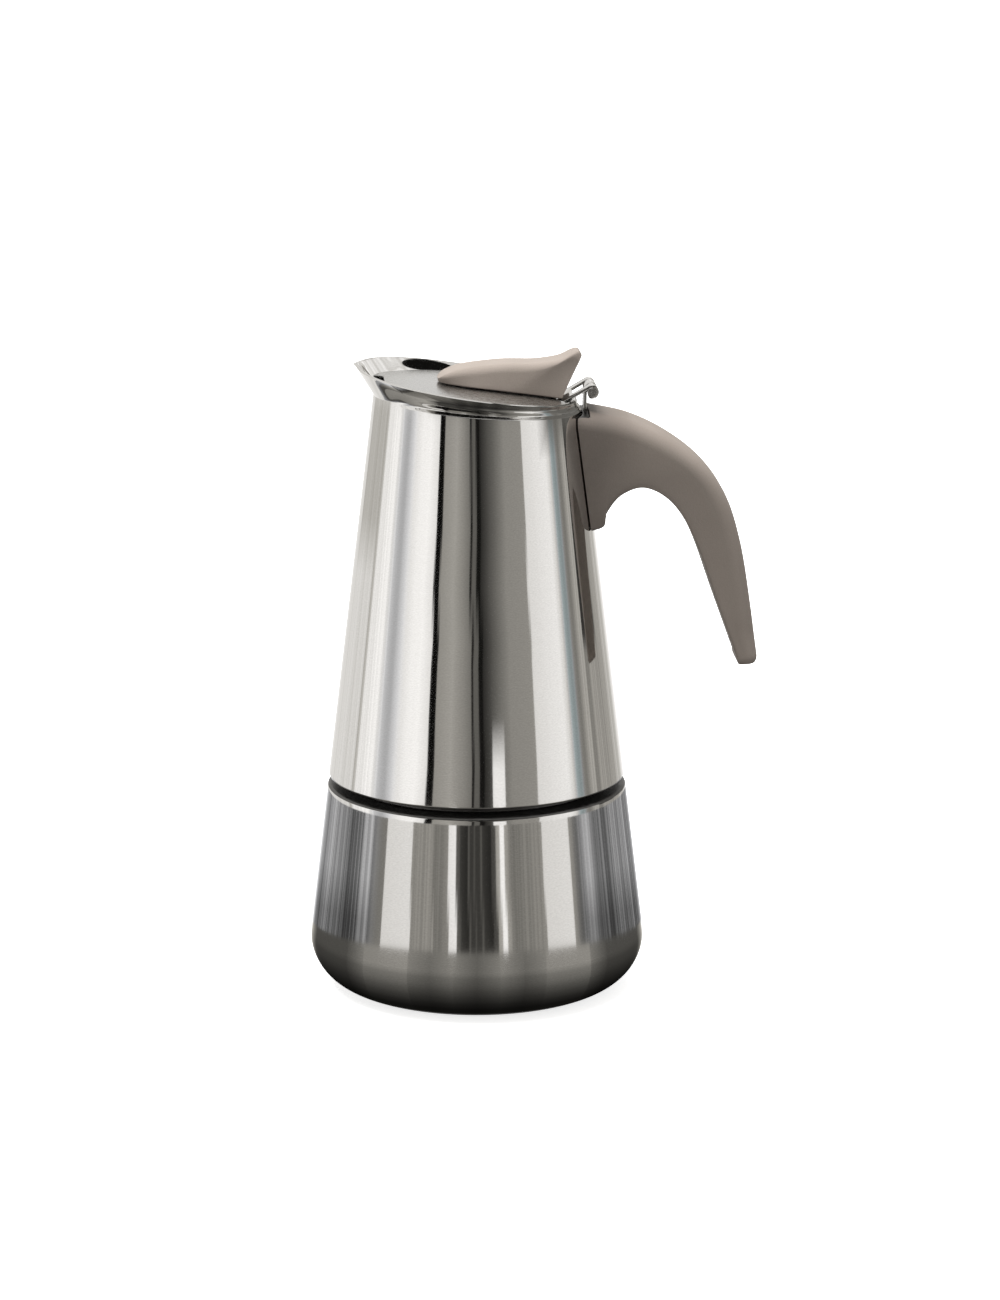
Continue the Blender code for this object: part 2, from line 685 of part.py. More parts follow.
def make_hinge():
    knuckle_mid = KNUCKLE_R - SHEET_T / 2
    # leaf: spot-welded under the lid, rises through the notch and curls over the pin
    foot_drop = LID_T + GAP + SHEET_T / 2
    foot_end = TAIL_NOTCH_X + 0.3
    path = [(LEAF_FOOT_X, lid_top(LEAF_FOOT_X, 0) - foot_drop), (foot_end, lid_top(foot_end, 0) - foot_drop - 0.1)]
    path += arc(PIN_X, PIN_Z, knuckle_mid, 127, -120, 14)
    leaf = extruded("lid_hinge_leaf", strip_outline(path, SHEET_T), LEAF_HALF, POLISHED)
    boolean(leaf, box_cutter("leaf_slot", (28.2, -LEAF_SLOT_HALF, 170), (45, LEAF_SLOT_HALF, 190)))
    # strap: welded on the jug's wall inside the handle root, curls around the pin between the arms
    wall_offset = GAP + SHEET_T / 2
    low = 160.0
    bend = 172.0
    path = [(cone_r(low) + wall_offset, low), (cone_r(bend) + wall_offset, bend)]
    path += arc(PIN_X, PIN_Z, knuckle_mid, 190, -80, 14)
    extruded("hinge_strap", strip_outline(path, SHEET_T), STRAP_HALF, SATIN)
    pin = turned("hinge_pin", [
        (0.0, LEAF_HALF + 1.0), (1.2, LEAF_HALF + 0.9), (1.5, LEAF_HALF + 0.6), (1.5, LEAF_HALF + 0.3),
        (PIN_R, LEAF_HALF + 0.3), (PIN_R, -LEAF_HALF - 0.3), (1.5, -LEAF_HALF - 0.3),
        (1.5, -LEAF_HALF - 0.6), (1.2, -LEAF_HALF - 0.9), (0.0, -LEAF_HALF - 1.0)],
        SATIN, 16, closed=False)
    pin.rotation_euler = (math.radians(90), 0.0, 0.0)
    pin.location = Vector((PIN_X, 0.0, PIN_Z)) * MM


# --- knob -----------------------------------------------------------------------------------------
def rounded_section(half, low, high, low_round, high_round):
    """Half-outline of a rounded block, as (side, height) from the bottom centre to the top centre."""
    points = [(0.0, low), (half - low_round, low)]
    for i in range(1, 3):
        angle = math.pi / 2 * i / 2
        points.append((half - low_round + low_round * math.sin(angle),
                       low + low_round - low_round * math.cos(angle)))
    for i in range(6):
        angle = math.pi / 2 * i / 5
        points.append((half - high_round + high_round * math.cos(angle),
                       high - high_round + high_round * math.sin(angle)))
    points.append((0.0, high))
    return points


def both_sides(half_outline):
    """Close a half-outline by its mirror image."""
    return half_outline + [(-side, height) for side, height in half_outline[-2:0:-1]]


def knob_half_width(t):
    """Half-width along the knob, from the nose (0) to the tail (1)."""
    nose = math.sqrt(max(0.0, 1 - (1 - min(t / 0.42, 1.0)) ** 2))
    return KNOB_HALF * (0.16 + 0.84 * nose) * (1 - 0.16 * smooth(0.55, 1.0, t))


def make_knob():
    crest = curve_through([
        (-11.4, 183.9), (-9.0, 185.6), (-3.6, 187.3), (7.5, 188.5), (17.0, 188.5), (24.0, 189.5),
        (28.2, 191.4), (29.9, 191.7), (30.8, 190.6)], 3)
    bottom_from = KNOB_NOSE_X
    bottom_to = KNOB_TAIL_X
    rings = []
    count = len(crest) - 1
    for i, (top_x, top_z) in enumerate(crest):
        t = i / count
        low_x = bottom_from + (bottom_to - bottom_from) * t
        half = knob_half_width(t)
        low_z = lid_top(low_x, 0) + GAP
        height = top_z - low_z
        edge = min(KNOB_EDGE, half * 0.6, height * 0.4)
        ring = []
        for side, level in both_sides(rounded_section(half, 0.0, height, 0.5, edge)):
            lean = level / height
            ring.append((low_x + (top_x - low_x) * lean, side, low_z + level))
        rings.append(ring)
    knob = skin_rings("knob", rings, TAUPE, closed_path=False)
    for name, x in KNOB_SCREWS:
        bore = cylinder(f"knob_bore_{name}", 1.6, 170, lid_top(x, 0) + 4.6, (x, 0.0), 12)
        boolean(knob, as_cutter(bore))
        base = lid_top(x, 0) - LID_T - GAP
        turned_at(f"knob_screw_{name}", [
            (0.0, base - 1.5), (1.9, base - 1.3), (2.7, base - 0.6), (2.7, base), (1.25, base),
            (1.25, lid_top(x, 0) + 4.0), (0.0, lid_top(x, 0) + 4.2)][::-1], x)


def turned_at(name, profile, x):
    """A small turned screw about a vertical axis at x."""
    screw = turned(name, profile, SATIN, 14, closed=False)
    screw.location.x = x * MM
    return screw


# --- handle ---------------------------------------------------------------------------------------
def make_handle():
    outer = curve_through([
        (26.0, 175.6), (34.2, 174.3), (45.5, 171.7), (56.6, 166.3), (66.6, 158.4), (73.6, 148.2),
        (78.2, 133.5), (81.4, 114.5), (83.3, 100.0)], 3)
    inner = curve_through([
        (26.0, 138.8), (36.2, 140.6), (37.6, 144.8), (42.0, 150.1), (49.2, 152.0), (57.4, 147.0),
        (64.0, 135.9), (70.6, 117.6), (77.0, 99.9)], 3)
    rings = []
    count = len(outer) - 1
    for i, (high, low) in enumerate(zip(outer, inner)):
        t = i / count
        half = HANDLE_ROOT_HALF + (HANDLE_TIP_HALF - HANDLE_ROOT_HALF) * smooth(0.1, 1.0, t)
        low_point = Vector(low)
        high_point = Vector(high)
        depth = (high_point - low_point).length
        edge = min(HANDLE_EDGE, half * 0.8, depth * 0.6)
        ring = []
        for side, level in both_sides(rounded_section(half, 0.0, depth, 0.9, edge)):
            x, z = low_point.lerp(high_point, level / depth)
            ring.append((x, side, z))
        rings.append(ring)
    tip = []
    centre = (Vector(outer[-1]) + Vector(inner[-1])) / 2
    for x, side, z in rings[-1]:
        tip.append((centre.x + (x - centre.x) * 0.68, side * 0.8, centre.y + (z - centre.y) * 0.5 - 2.3))
    rings.append(tip)
    handle = skin_rings("handle", rings, TAUPE, closed_path=False)

    low_z, high_z = 120.0, 190.0
    bpy.ops.mesh.primitive_cone_add(
        vertices=96, radius1=(cone_r(low_z) + GAP) * MM, radius2=(cone_r(high_z) + GAP) * MM,
        depth=(high_z - low_z) * MM, location=(0.0, 0.0, (low_z + high_z) / 2 * MM))
    wall = bpy.context.active_object
    wall.name = "handle_wall_cut"
    boolean(handle, as_cutter(wall))
    boolean(handle, box_cutter("handle_notch", (20, -20, 171.6), (33.8, 20, 182)))
    boolean(handle, box_cutter("strap_pocket", (28, -STRAP_HALF - 0.4, 159.4),
                               (34.4, STRAP_HALF + 0.4, 173)))
    boolean(handle, box_cutter("tongue_pocket", (28, -5.5, TONGUE_Z - 1.0), (TONGUE_END_X + 0.5, 5.5,
                                                                            TONGUE_Z + 1.0)))
    boolean(handle, box_cutter("plate_pocket", (28, -6.5, 145.4), (36.2, 6.5, TONGUE_Z + 0.2)))
    bore = cylinder("handle_screw_bore", 1.85, 145, TONGUE_Z + 3.4, (HANDLE_SCREW_X, 0.0), 14)
    boolean(handle, as_cutter(bore))
    recess = cylinder("handle_screw_recess", 3.4, 145, 153.6, (HANDLE_SCREW_X, 0.0), 18)
    boolean(handle, as_cutter(recess))

    plate_offset = GAP + 0.55
    low = 146.0
    path = [(cone_r(low) + plate_offset, low), (cone_r(156.5) + plate_offset, 156.5),
            (cone_r(156.5) + plate_offset + 1.3, TONGUE_Z), (TONGUE_END_X, TONGUE_Z)]
    bracket = extruded("handle_bracket", strip_outline(path, 1.1), 5.0, SATIN)
    hole = cylinder("bracket_hole", 1.85, 150, 165, (HANDLE_SCREW_X, 0.0), 14)
    boolean(bracket, as_cutter(hole))

    head = 153.2
    turned_at("handle_screw", [
        (0.0, head - 1.3), (2.4, head - 1.3), (3.0, head - 0.8), (3.0, head), (1.5, head),
        (1.5, TONGUE_Z + 2.8), (0.0, TONGUE_Z + 3.0)][::-1], HANDLE_SCREW_X)


make_boiler()
make_valve()
make_funnel()
make_seal()
make_thread_ring()
make_jug_floor()
make_jug_body()
make_lid()
make_hinge()
make_knob()
make_handle()
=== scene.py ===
"""Looks of the moka pot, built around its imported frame.

Lengths are in millimetres and MM turns them into Blender's metres. The pot stands on z = 0 with its
axis on Z, its handle at +X and its spout at -X.
"""
import json
import math
import random

import bmesh
import bpy
from mathutils import Matrix, Vector


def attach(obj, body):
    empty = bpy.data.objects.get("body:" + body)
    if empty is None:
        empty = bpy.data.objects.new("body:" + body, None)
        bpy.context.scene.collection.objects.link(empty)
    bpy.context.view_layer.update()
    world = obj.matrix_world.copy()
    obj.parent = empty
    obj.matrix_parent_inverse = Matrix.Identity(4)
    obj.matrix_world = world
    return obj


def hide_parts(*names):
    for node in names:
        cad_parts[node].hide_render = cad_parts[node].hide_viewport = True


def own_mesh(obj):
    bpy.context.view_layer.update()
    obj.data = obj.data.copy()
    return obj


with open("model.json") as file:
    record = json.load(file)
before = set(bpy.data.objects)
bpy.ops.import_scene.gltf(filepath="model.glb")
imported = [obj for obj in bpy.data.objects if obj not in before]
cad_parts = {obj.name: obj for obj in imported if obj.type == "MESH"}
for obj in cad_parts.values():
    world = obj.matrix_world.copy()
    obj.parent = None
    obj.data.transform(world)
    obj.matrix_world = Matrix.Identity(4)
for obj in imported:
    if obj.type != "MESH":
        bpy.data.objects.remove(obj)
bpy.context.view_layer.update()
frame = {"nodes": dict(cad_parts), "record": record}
NODES = frame["nodes"]
MM = 0.001

# --- the pot's driving sizes, the same as its frame's ---
CONE_R = 49.89
CONE_Z = 16.88
CONE_SLOPE = 0.1212
CONE_ANGLE = math.atan(CONE_SLOPE)
BASE_ROUND = 15.07
BASE_FLAT_R = 34.93
BOILER_WALL = 1.2
SHOULDER_Z = 62.4
SHOULDER_ROUND = 1.2
NECK_R = 38.0
NECK_BORE_R = 36.3
MOUTH_Z = 74.0
PITCH = 3.0
THREAD_WIRE_R = 1.1
JUG_WALL = 1.0
JUG_BOTTOM_Z = 64.5
NECK_LINE_Z = 177.5
NECK_LINE_SLOPE = -0.08
BEAK_NECK_DROP = 0.7
RIM_Z = 182.16
RIM_SLOPE = -0.153
RIM_CENTRE_X = -4.0
RIM_A = 33.2
RIM_B = 33.4
BEAK_FLAT = 1.75
BEAK_RIDGE = 0.5
BEAK_LIFT = 0.6
FLARE_POWER = 1.8
COLLAR_DENT = 0.6
CREASE_STEP = 0.8
LID_T = 0.8
LID_EDGE_GAP = 0.5
LID_CENTRE_X = -1.0
LID_DROP = 0.8
LID_TILT = 0.045
LID_DOME_R = 375.0
GAP = 0.35
PIN_X = 33.5
PIN_Z = 180.3
KNUCKLE_R = 2.0
SHEET_T = 0.8
LEAF_HALF = 8.0
LEAF_FOOT_X = 12.5
LEAF_SLOT_HALF = 3.9
STRAP_HALF = 3.5
VALVE_Z = 38.0

# --- camera ---
CAMERA_DISTANCE = 1263.4
CAMERA_HEIGHT = 394.35
CAMERA_AZIMUTH = -3.0
CAMERA_PITCH = 13.043
CAMERA_YAW = -0.317
CAMERA_LENS = 120.8
SENSOR_HEIGHT = 36.0


# --- shapes shared by several pieces ---
def cone_r(z):
    """Outer radius of the pot's cone at height z."""
    return CONE_R - (z - CONE_Z) * CONE_SLOPE


def rim_plane(x):
    return RIM_Z + RIM_SLOPE * x


def lid_top(x, y):
    """Height of the lid's upper face."""
    along = x - LID_CENTRE_X
    fall = (along * along + y * y) / (2 * LID_DOME_R)
    return rim_plane(x) - LID_DROP + LID_TILT * along - fall


def smooth(low, high, value):
    """0 below low, 1 above high, and an eased step between them."""
    t = min(max((value - low) / (high - low), 0.0), 1.0)
    return t * t * (3 - 2 * t)


def mix(a, b, t):
    return a + (b - a) * t


def around(r, phi, z):
    """A point at a radius and height, in the direction phi round the pot's axis."""
    return Vector((r * math.cos(phi), r * math.sin(phi), z))


def arc(cx, cz, radius, start, end, count):
    """Points on an arc, with angles in degrees counted from +X towards +Z."""
    points = []
    for i in range(count + 1):
        angle = math.radians(start + (end - start) * i / count)
        points.append((cx + radius * math.cos(angle), cz + radius * math.sin(angle)))
    return points


def curve_through(points, per_span):
    """Catmull-Rom curve through the given (x, z) points."""
    ends = [points[0]] + list(points) + [points[-1]]
    result = []
    for i in range(1, len(ends) - 2):
        p0, p1, p2, p3 = (Vector(p) for p in ends[i - 1:i + 3])
        for k in range(per_span):
            t = k / per_span
            a = 2 * p1 + (p2 - p0) * t
            b = (2 * p0 - 5 * p1 + 4 * p2 - p3) * t * t
            c = (3 * p1 - p0 - 3 * p2 + p3) * t ** 3
            result.append(tuple((a + b + c) / 2))
    result.append(tuple(points[-1]))
    return result


def softened(outline, radius, closed=True, steps=4):
    """An outline with its corners rounded, and a support point beyond each end of a rounding."""
    result = []
    for i, point in enumerate(outline):
        here = Vector(point)
        back = Vector(outline[i - 1]) - here
        ahead = Vector(outline[(i + 1) % len(outline)]) - here
        end_point = not closed and i in (0, len(outline) - 1)
        if end_point or min(back.length, ahead.length) < 1e-6 or back.angle(-ahead) < math.radians(12):
            result.append(tuple(here))
            continue
        back = back.normalized() * min(radius, back.length * 0.4)
        ahead = ahead.normalized() * min(radius, ahead.length * 0.4)
        result.append(tuple(here + back * 1.15))
        start = here + back
        end = here + ahead
        for k in range(steps + 1):
            t = k / steps
            result.append(tuple(start * (1 - t) ** 2 + here * 2 * t * (1 - t) + end * t ** 2))
        result.append(tuple(here + ahead * 1.15))
    return result


# --- mesh helpers ---
MERGE_DISTANCE = 0.000002         # metres


def linked(name, data):
    """A new object of the scene."""
    obj = bpy.data.objects.new(name, data)
    bpy.context.scene.collection.objects.link(obj)
    return obj


def to_mesh(name, bm):
    mesh = bpy.data.meshes.new(name)
    bm.to_mesh(mesh)
    bm.free()
    return mesh


def smooth_shaded(mesh, sharp_angle=40.0):
    mesh.shade_smooth()
    mesh.set_sharp_from_angle(angle=math.radians(sharp_angle))
    return mesh


def finish_mesh(name, bm, sharp_angle=40.0):
    bmesh.ops.remove_doubles(bm, verts=bm.verts, dist=MERGE_DISTANCE)
    bmesh.ops.recalc_face_normals(bm, faces=bm.faces)
    return linked(name, smooth_shaded(to_mesh(name, bm), sharp_angle))


def grid_faces(bm, rows, wrap_rows=False, wrap_columns=True):
    """Faces between neighbouring rows of vertices."""
    count = len(rows[0])
    row_spans = len(rows) if wrap_rows else len(rows) - 1
    column_spans = count if wrap_columns else count - 1
    for i in range(row_spans):
        a = rows[i]
        b = rows[(i + 1) % len(rows)]
        for k in range(column_spans):
            n = (k + 1) % count
            bm.faces.new((a[k], a[n], b[n], b[k]))


def skin(name, rings, ring_closed=True, path_closed=False, capped=False, sharp_angle=40.0):
    """Skin a row of sections, each a list of (x, y, z) in millimetres."""
    bm = bmesh.new()
    rows = [[bm.verts.new(Vector(p) * MM) for p in ring] for ring in rings]
    grid_faces(bm, rows, path_closed, ring_closed)
    if capped:
        bm.faces.new(rows[0])
        bm.faces.new(list(reversed(rows[-1])))
    return finish_mesh(name, bm, sharp_angle)


def lathe(name, profile, steps=192, closed=True):
    """Turn (radius, z) points about Z. Points on the axis are merged when the mesh is finished."""
    bm = bmesh.new()
    rows = []
    for i in range(steps):
        phi = 2 * math.pi * i / steps
        rows.append([bm.verts.new(around(r, phi, z) * MM) for r, z in profile])
    grid_faces(bm, rows, wrap_rows=True, wrap_columns=closed)
    return finish_mesh(name, bm)


def ridge_coil(name, radius, wire_r, start_z, pitch, turns, per_turn, taper, sides=12):
    """A right-hand coil of round wire about Z, whose ends taper off over the given turns."""
    rings = []
    for i in range(int(turns * per_turn) + 1):
        turn = i / per_turn
        angle = 2 * math.pi * turn
        size = wire_r * (max(0.05, smooth(0.0, taper, min(turn, turns - turn))) if taper else 1.0)
        section = [2 * math.pi * k / sides for k in range(sides)]
        rings.append([around(radius + size * math.cos(a), angle, start_z + pitch * turn + size * math.sin(a))
                      for a in section])
    return skin(name, rings, capped=True)


def apply_modifiers(obj):
    """Replace the mesh by its evaluated one, smooth shaded with its sharp edges kept."""
    bpy.context.view_layer.update()
    depsgraph = bpy.context.evaluated_depsgraph_get()
    mesh = bpy.data.meshes.new_from_object(obj.evaluated_get(depsgraph))
    obj.modifiers.clear()
    obj.data = smooth_shaded(mesh)
    return obj


def bevelled(obj, width, angle=35.0):
    bevel = obj.modifiers.new("edges", "BEVEL")
    bevel.width = width * MM
    bevel.segments = 3
    bevel.limit_method = "ANGLE"
    bevel.angle_limit = math.radians(angle)
    return apply_modifiers(obj)


def cut(obj, tool, operation="DIFFERENCE"):
    """Apply a Boolean and remove its tool."""
    modifier = obj.modifiers.new("cut", "BOOLEAN")
    modifier.operation = operation
    modifier.object = tool
    apply_modifiers(obj)
    bpy.data.objects.remove(tool, do_unlink=True)
    return obj


def box_tool(low, high):
    centre = (Vector(low) + Vector(high)) / 2
    size = Vector(high) - Vector(low)
    bm = bmesh.new()
    bmesh.ops.create_cube(bm, size=1.0, matrix=Matrix.LocRotScale(centre * MM, None, size * MM))
    return finish_mesh("tool", bm)


def add_cylinder(bm, radius, low, high, x=0.0, y=0.0, segments=48):
    bmesh.ops.create_cone(bm, cap_ends=True, segments=segments, radius1=radius * MM, radius2=radius * MM,
                          depth=(high - low) * MM,
                          matrix=Matrix.Translation(Vector((x, y, (low + high) / 2)) * MM))


def rod_tool(radius, low, high, x=0.0):
    bm = bmesh.new()
    add_cylinder(bm, radius, low, high, x)
    return finish_mesh("tool", bm)


def joined(name, *pieces):
    """Join meshes into one object."""
    bm = bmesh.new()
    for piece in pieces:
        mesh = piece.data.copy()
        mesh.transform(piece.matrix_world)
        bm.from_mesh(mesh)
        bpy.data.objects.remove(piece, do_unlink=True)
    return finish_mesh(name, bm)


def place(obj, matrix):
    obj.data.transform(matrix)
    return obj


def dress(obj, body, material_slot, *nodes):
    """Give a piece its material, its body and the nodes that it stands for."""
    obj.data.materials.clear()
    obj.data.materials.append(MATERIALS[material_slot])
    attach(obj, body)
    if nodes:
        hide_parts(*nodes)
    return obj


def turned(name, outline, corner, body, slot, node, steps=192, closed=True, matrix=None):
    """A turned piece with softened corners, dressed in place of its node."""
    piece = lathe(name, softened(outline, corner, closed), steps, closed)
    return dress(place(piece, matrix or Matrix()), body, slot, node)


# --- materials ---
class Nodes:
    """Short calls for building the node tree of a material or a world."""

    def __init__(self, owner, emptied=False):
        owner.use_nodes = True
        self.owner = owner
        self.tree = owner.node_tree
        if emptied:
            self.tree.nodes.clear()
        self.shader = self.tree.nodes.get("Principled BSDF")

    def feed(self, node, inputs):
        """Link or set a node's inputs, given by name or index."""
        for key, value in inputs.items():
            if isinstance(value, bpy.types.NodeSocket):
                self.tree.links.new(value, node.inputs[key])
            else:
                node.inputs[key].default_value = value

    def add(self, kind, inputs=None, **settings):
        node = self.tree.nodes.new("ShaderNode" + kind)
        for key, value in settings.items():
            setattr(node, key, value)
        self.feed(node, inputs or {})
        return node

    def math(self, operation, *values):
        return self.add("Math", dict(enumerate(values)), operation=operation).outputs[0]

    def blend(self, share, first, second):
        return self.add("MixShader", {"Fac": share, 1: first, 2: second}).outputs[0]

    def map(self, value, from_min, from_max, to_min, to_max, **settings):
        ends = {"From Min": from_min, "From Max": from_max, "To Min": to_min, "To Max": to_max}
        return self.add("MapRange", {**ends, "Value": value}, **settings).outputs[0]

    def noise(self, vector, scale, detail=2.0):
        return self.add("TexNoise", {"Scale": scale, "Detail": detail, "Vector": vector}).outputs[0]

    def spread(self, value, low, high):
        """Map 0.3..0.7 of a noise to low..high."""
        return self.map(value, 0.3, 0.7, low, high)

    def tones(self, value, low, high):
        """A colour from low to high that follows a noise."""
        return self.mix_colours((*low, 1.0), (*high, 1.0), self.spread(value, 0.0, 1.0))

    def mix_colours(self, first, second, share, **settings):
        ends = {"A": first, "B": second, "Factor": share}
        return self.add("Mix", ends, data_type="RGBA", **settings).outputs["Result"]

    def stretched(self, scale=(1.0, 1.0, 1.0)):
        """Object coordinates in metres, stretched by a scale per axis."""
        place_in = self.add("TexCoord").outputs["Object"]
        return self.add("Mapping", {"Scale": scale, "Vector": place_in}).outputs["Vector"]

    def turned_grain(self, along, across):
        """Coordinates wrapped around Z: a grain that runs round the pot, long along and fine across."""
        x, y, z = self.add("SeparateXYZ", {0: self.add("TexCoord").outputs["Object"]}).outputs
        radius = self.math("SQRT", self.math("ADD", self.math("POWER", x, 2.0), self.math("POWER", y, 2.0)))
        return self.add("CombineXYZ", {
            "X": self.math("MULTIPLY", self.math("ARCTAN2", y, x), along),
            "Y": self.math("MULTIPLY", z, across),
            "Z": self.math("MULTIPLY", radius, across)}).outputs[0]

    def finish(self, tone, rough, bumps, distance, strength=1.0):
        """Link tone and roughness, raise the bumps by a distance in metres and return the material."""
        bump = self.add("Bump", {"Distance": distance, "Strength": strength, "Height": bumps})
        self.feed(self.shader, {"Base Color": tone, "Roughness": rough, "Normal": bump.outputs["Normal"]})
        return self.owner


def surface(name, metallic, roughness, specular=0.5):
    nodes = Nodes(bpy.data.materials.new(name))
    nodes.feed(nodes.shader, {"Metallic": metallic, "Roughness": roughness, "Specular IOR Level": specular})
    return nodes


def polished_steel():
    """Mirror-bright sheet steel with a faint drawn grain round the pot and a few soft smears."""
    nodes = surface("polished_steel", 1.0, 0.06)
    grain = nodes.noise(nodes.turned_grain(60.0, 4600.0), 1.0)
    smears = nodes.noise(nodes.stretched((30.0, 30.0, 9.0)), 1.0, 3.0)
    tone = nodes.tones(grain, (0.61, 0.602, 0.588), (0.69, 0.682, 0.667))
    rough = nodes.math("ADD", nodes.spread(grain, 0.035, 0.055), nodes.spread(smears, 0.0, 0.02))
    return nodes.finish(tone, rough, grain, 0.0000001)


def satin_steel():
    """Turned or drawn steel with a plain grey sheen."""
    nodes = surface("satin_steel", 1.0, 0.25)
    grain = nodes.noise(nodes.turned_grain(9.0, 2600.0), 1.0, 3.0)
    tone = nodes.tones(grain, (0.47, 0.46, 0.445), (0.62, 0.61, 0.60))
    return nodes.finish(tone, nodes.spread(grain, 0.16, 0.30), grain, 0.000004)


def lid_steel():
    """Sheet steel brushed along X, less bright than the polished walls."""
    nodes = surface("lid_steel", 1.0, 0.26)
    grain = nodes.noise(nodes.stretched((500.0, 3400.0, 900.0)), 1.0, 3.0)
    tone = nodes.tones(grain, (0.46, 0.46, 0.453), (0.63, 0.63, 0.62))
    return nodes.finish(tone, nodes.spread(grain, 0.20, 0.34), grain, 0.00001)


def painted_shade_steel():
    """Unpolished steel, painted near-black as shade; it dresses the screw threads, the boiler's shoulder top
    and neck, and the handle's notch.
    """
    nodes = surface("painted_shade_steel", 1.0, 0.45)
    grain = nodes.noise(nodes.turned_grain(14.0, 2200.0), 1.0, 3.0)
    tone = nodes.tones(grain, (0.085, 0.083, 0.08), (0.14, 0.137, 0.133))
    return nodes.finish(tone, nodes.spread(grain, 0.38, 0.52), grain, 0.000004)


def taupe_plastic(name="taupe_plastic", painted_root_shade=1.0):
    """Warm grey-brown moulded plastic with a fine spark-eroded grain, and if asked, painted shade that
    darkens it towards the pot.
    """
    nodes = surface(name, 0.0, 0.5, 0.35)
    place_in = nodes.stretched()
    grain = nodes.noise(place_in, 2600.0)
    clouds = nodes.noise(place_in, 45.0)
    shade = nodes.math("ADD", nodes.math("MULTIPLY", nodes.spread(grain, 0.0, 1.0), 0.45),
                       nodes.math("MULTIPLY", nodes.spread(clouds, 0.0, 1.0), 0.55))
    tone = nodes.mix_colours((0.335, 0.287, 0.25, 1.0), (0.40, 0.345, 0.304, 1.0), shade)
    # Painted shade: darker towards the pot, where the handle's root sits in the jug's shade.
    if painted_root_shade < 1.0:
        x = nodes.add("SeparateXYZ", {0: place_in}).outputs["X"]
        away = nodes.map(x, 0.034, 0.052, painted_root_shade, 0.93, interpolation_type="SMOOTHSTEP")
        tone = nodes.mix_colours(tone, away, 1.0, blend_type="MULTIPLY")
    return nodes.finish(tone, nodes.spread(grain, 0.46, 0.62), grain, 0.00005, 0.7)


def seal_silicone():
    """Off-white silicone with a faint powdery surface."""
    nodes = surface("seal_silicone", 0.0, 0.55, 0.4)
    powder = nodes.noise(nodes.stretched(), 1500.0, 3.0)
    tone = nodes.tones(powder, (0.66, 0.63, 0.56), (0.74, 0.72, 0.66))
    return nodes.finish(tone, nodes.spread(powder, 0.45, 0.62), powder, 0.00003, 0.6)


def valve_brass():
    """Turned brass with fine tool marks and a little dulling."""
    nodes = surface("valve_brass", 1.0, 0.25)
    marks = nodes.noise(nodes.stretched((600.0, 4200.0, 600.0)), 1.0)
    dulling = nodes.noise(nodes.stretched(), 160.0, 3.0)
    tone = nodes.tones(dulling, (0.50, 0.38, 0.19), (0.70, 0.57, 0.31))
    return nodes.finish(tone, nodes.spread(marks, 0.18, 0.36), marks, 0.000006)


LID_STEEL = lid_steel()
PAINTED_SHADE_STEEL = painted_shade_steel()
# The handle's copy of the plastic, with painted shade towards its root.
HANDLE_PLASTIC_PAINTED_SHADE = taupe_plastic("handle_plastic_painted_shade", 0.56)
MATERIALS = {
    "polished_steel": polished_steel(),
    "satin_steel": satin_steel(),
    "taupe_plastic": taupe_plastic(),
    "seal_silicone": seal_silicone(),
    "valve_brass": valve_brass(),
}


def dress_frame_nodes():
    """Every node of the frame gets the material of its slot, whether it is replaced later or not."""
    for part in frame["record"]["subparts"]:
        mesh = NODES[part["node"]].data
        mesh.materials.clear()
        mesh.materials.append(MATERIALS[part["material_slot"]])
        smooth_shaded(mesh, 30)


# --- boiler ---
def build_boiler():
    tilt = math.degrees(CONE_ANGLE)
    inner_round = BASE_ROUND - BOILER_WALL
    inside = [(0.0, BOILER_WALL), (BASE_FLAT_R - 2.0, BOILER_WALL)]
    inside += arc(BASE_FLAT_R, BASE_ROUND, inner_round, -90, tilt, 20)
    top = SHOULDER_Z - 0.5
    under = SHOULDER_Z - 1.6
    shoulder_x = cone_r(top - SHOULDER_ROUND) - SHOULDER_ROUND / math.cos(CONE_ANGLE)
    inside += softened([
        (cone_r(under - 2.0) - BOILER_WALL, under - 2.0),
        (cone_r(under) - BOILER_WALL, under),
        (NECK_BORE_R, SHOULDER_Z - 1.4),
        (NECK_BORE_R, MOUTH_Z),
        (NECK_R, MOUTH_Z),
        (NECK_R, top),
        (shoulder_x, top),
    ], 0.55, closed=False)
    inside += arc(shoulder_x, top - SHOULDER_ROUND, SHOULDER_ROUND, 88, tilt, 12)
    inside.append((cone_r(SHOULDER_Z - 3.0), SHOULDER_Z - 3.0))
    outside = arc(BASE_FLAT_R, BASE_ROUND, BASE_ROUND, tilt, -90, 40)
    dish = [(BASE_FLAT_R - 0.6, 0.0), (33.0, 0.0), (32.4, 0.25), (0.0, 0.3)]
    shell = lathe("boiler_shell", inside + outside + dish, 288, closed=False)
    dress(shell, "boiler", "polished_steel", "boiler_body")
    # Painted shade: the shoulder's top, the upper half of its rounding and the neck get near-black steel,
    # standing for the shade in the seam under the jug.
    shell.data.materials.append(PAINTED_SHADE_STEEL)
    for face in shell.data.polygons:
        centre = face.center / MM
        if centre.z > top - 0.5 * SHOULDER_ROUND:
            face.material_index = 1
    thread = ridge_coil("boiler_thread", 37.7, THREAD_WIRE_R, 64.8, PITCH, 2.25, 96, 0.12)
    dress(thread, "boiler", "satin_steel")
    # Painted shade: the thread is dressed in near-black steel for the shade in the seam.
    thread.data.materials[0] = PAINTED_SHADE_STEEL


# --- safety valve ---
def valve_matrix():
    """Local +Z is the outward normal of the boiler wall, and the local origin is on its surface."""
    turn = Matrix.Rotation(-(math.pi / 2 - CONE_ANGLE), 4, "X")
    return Matrix.Translation(Vector((0.0, cone_r(VALVE_Z), VALVE_Z)) * MM) @ turn


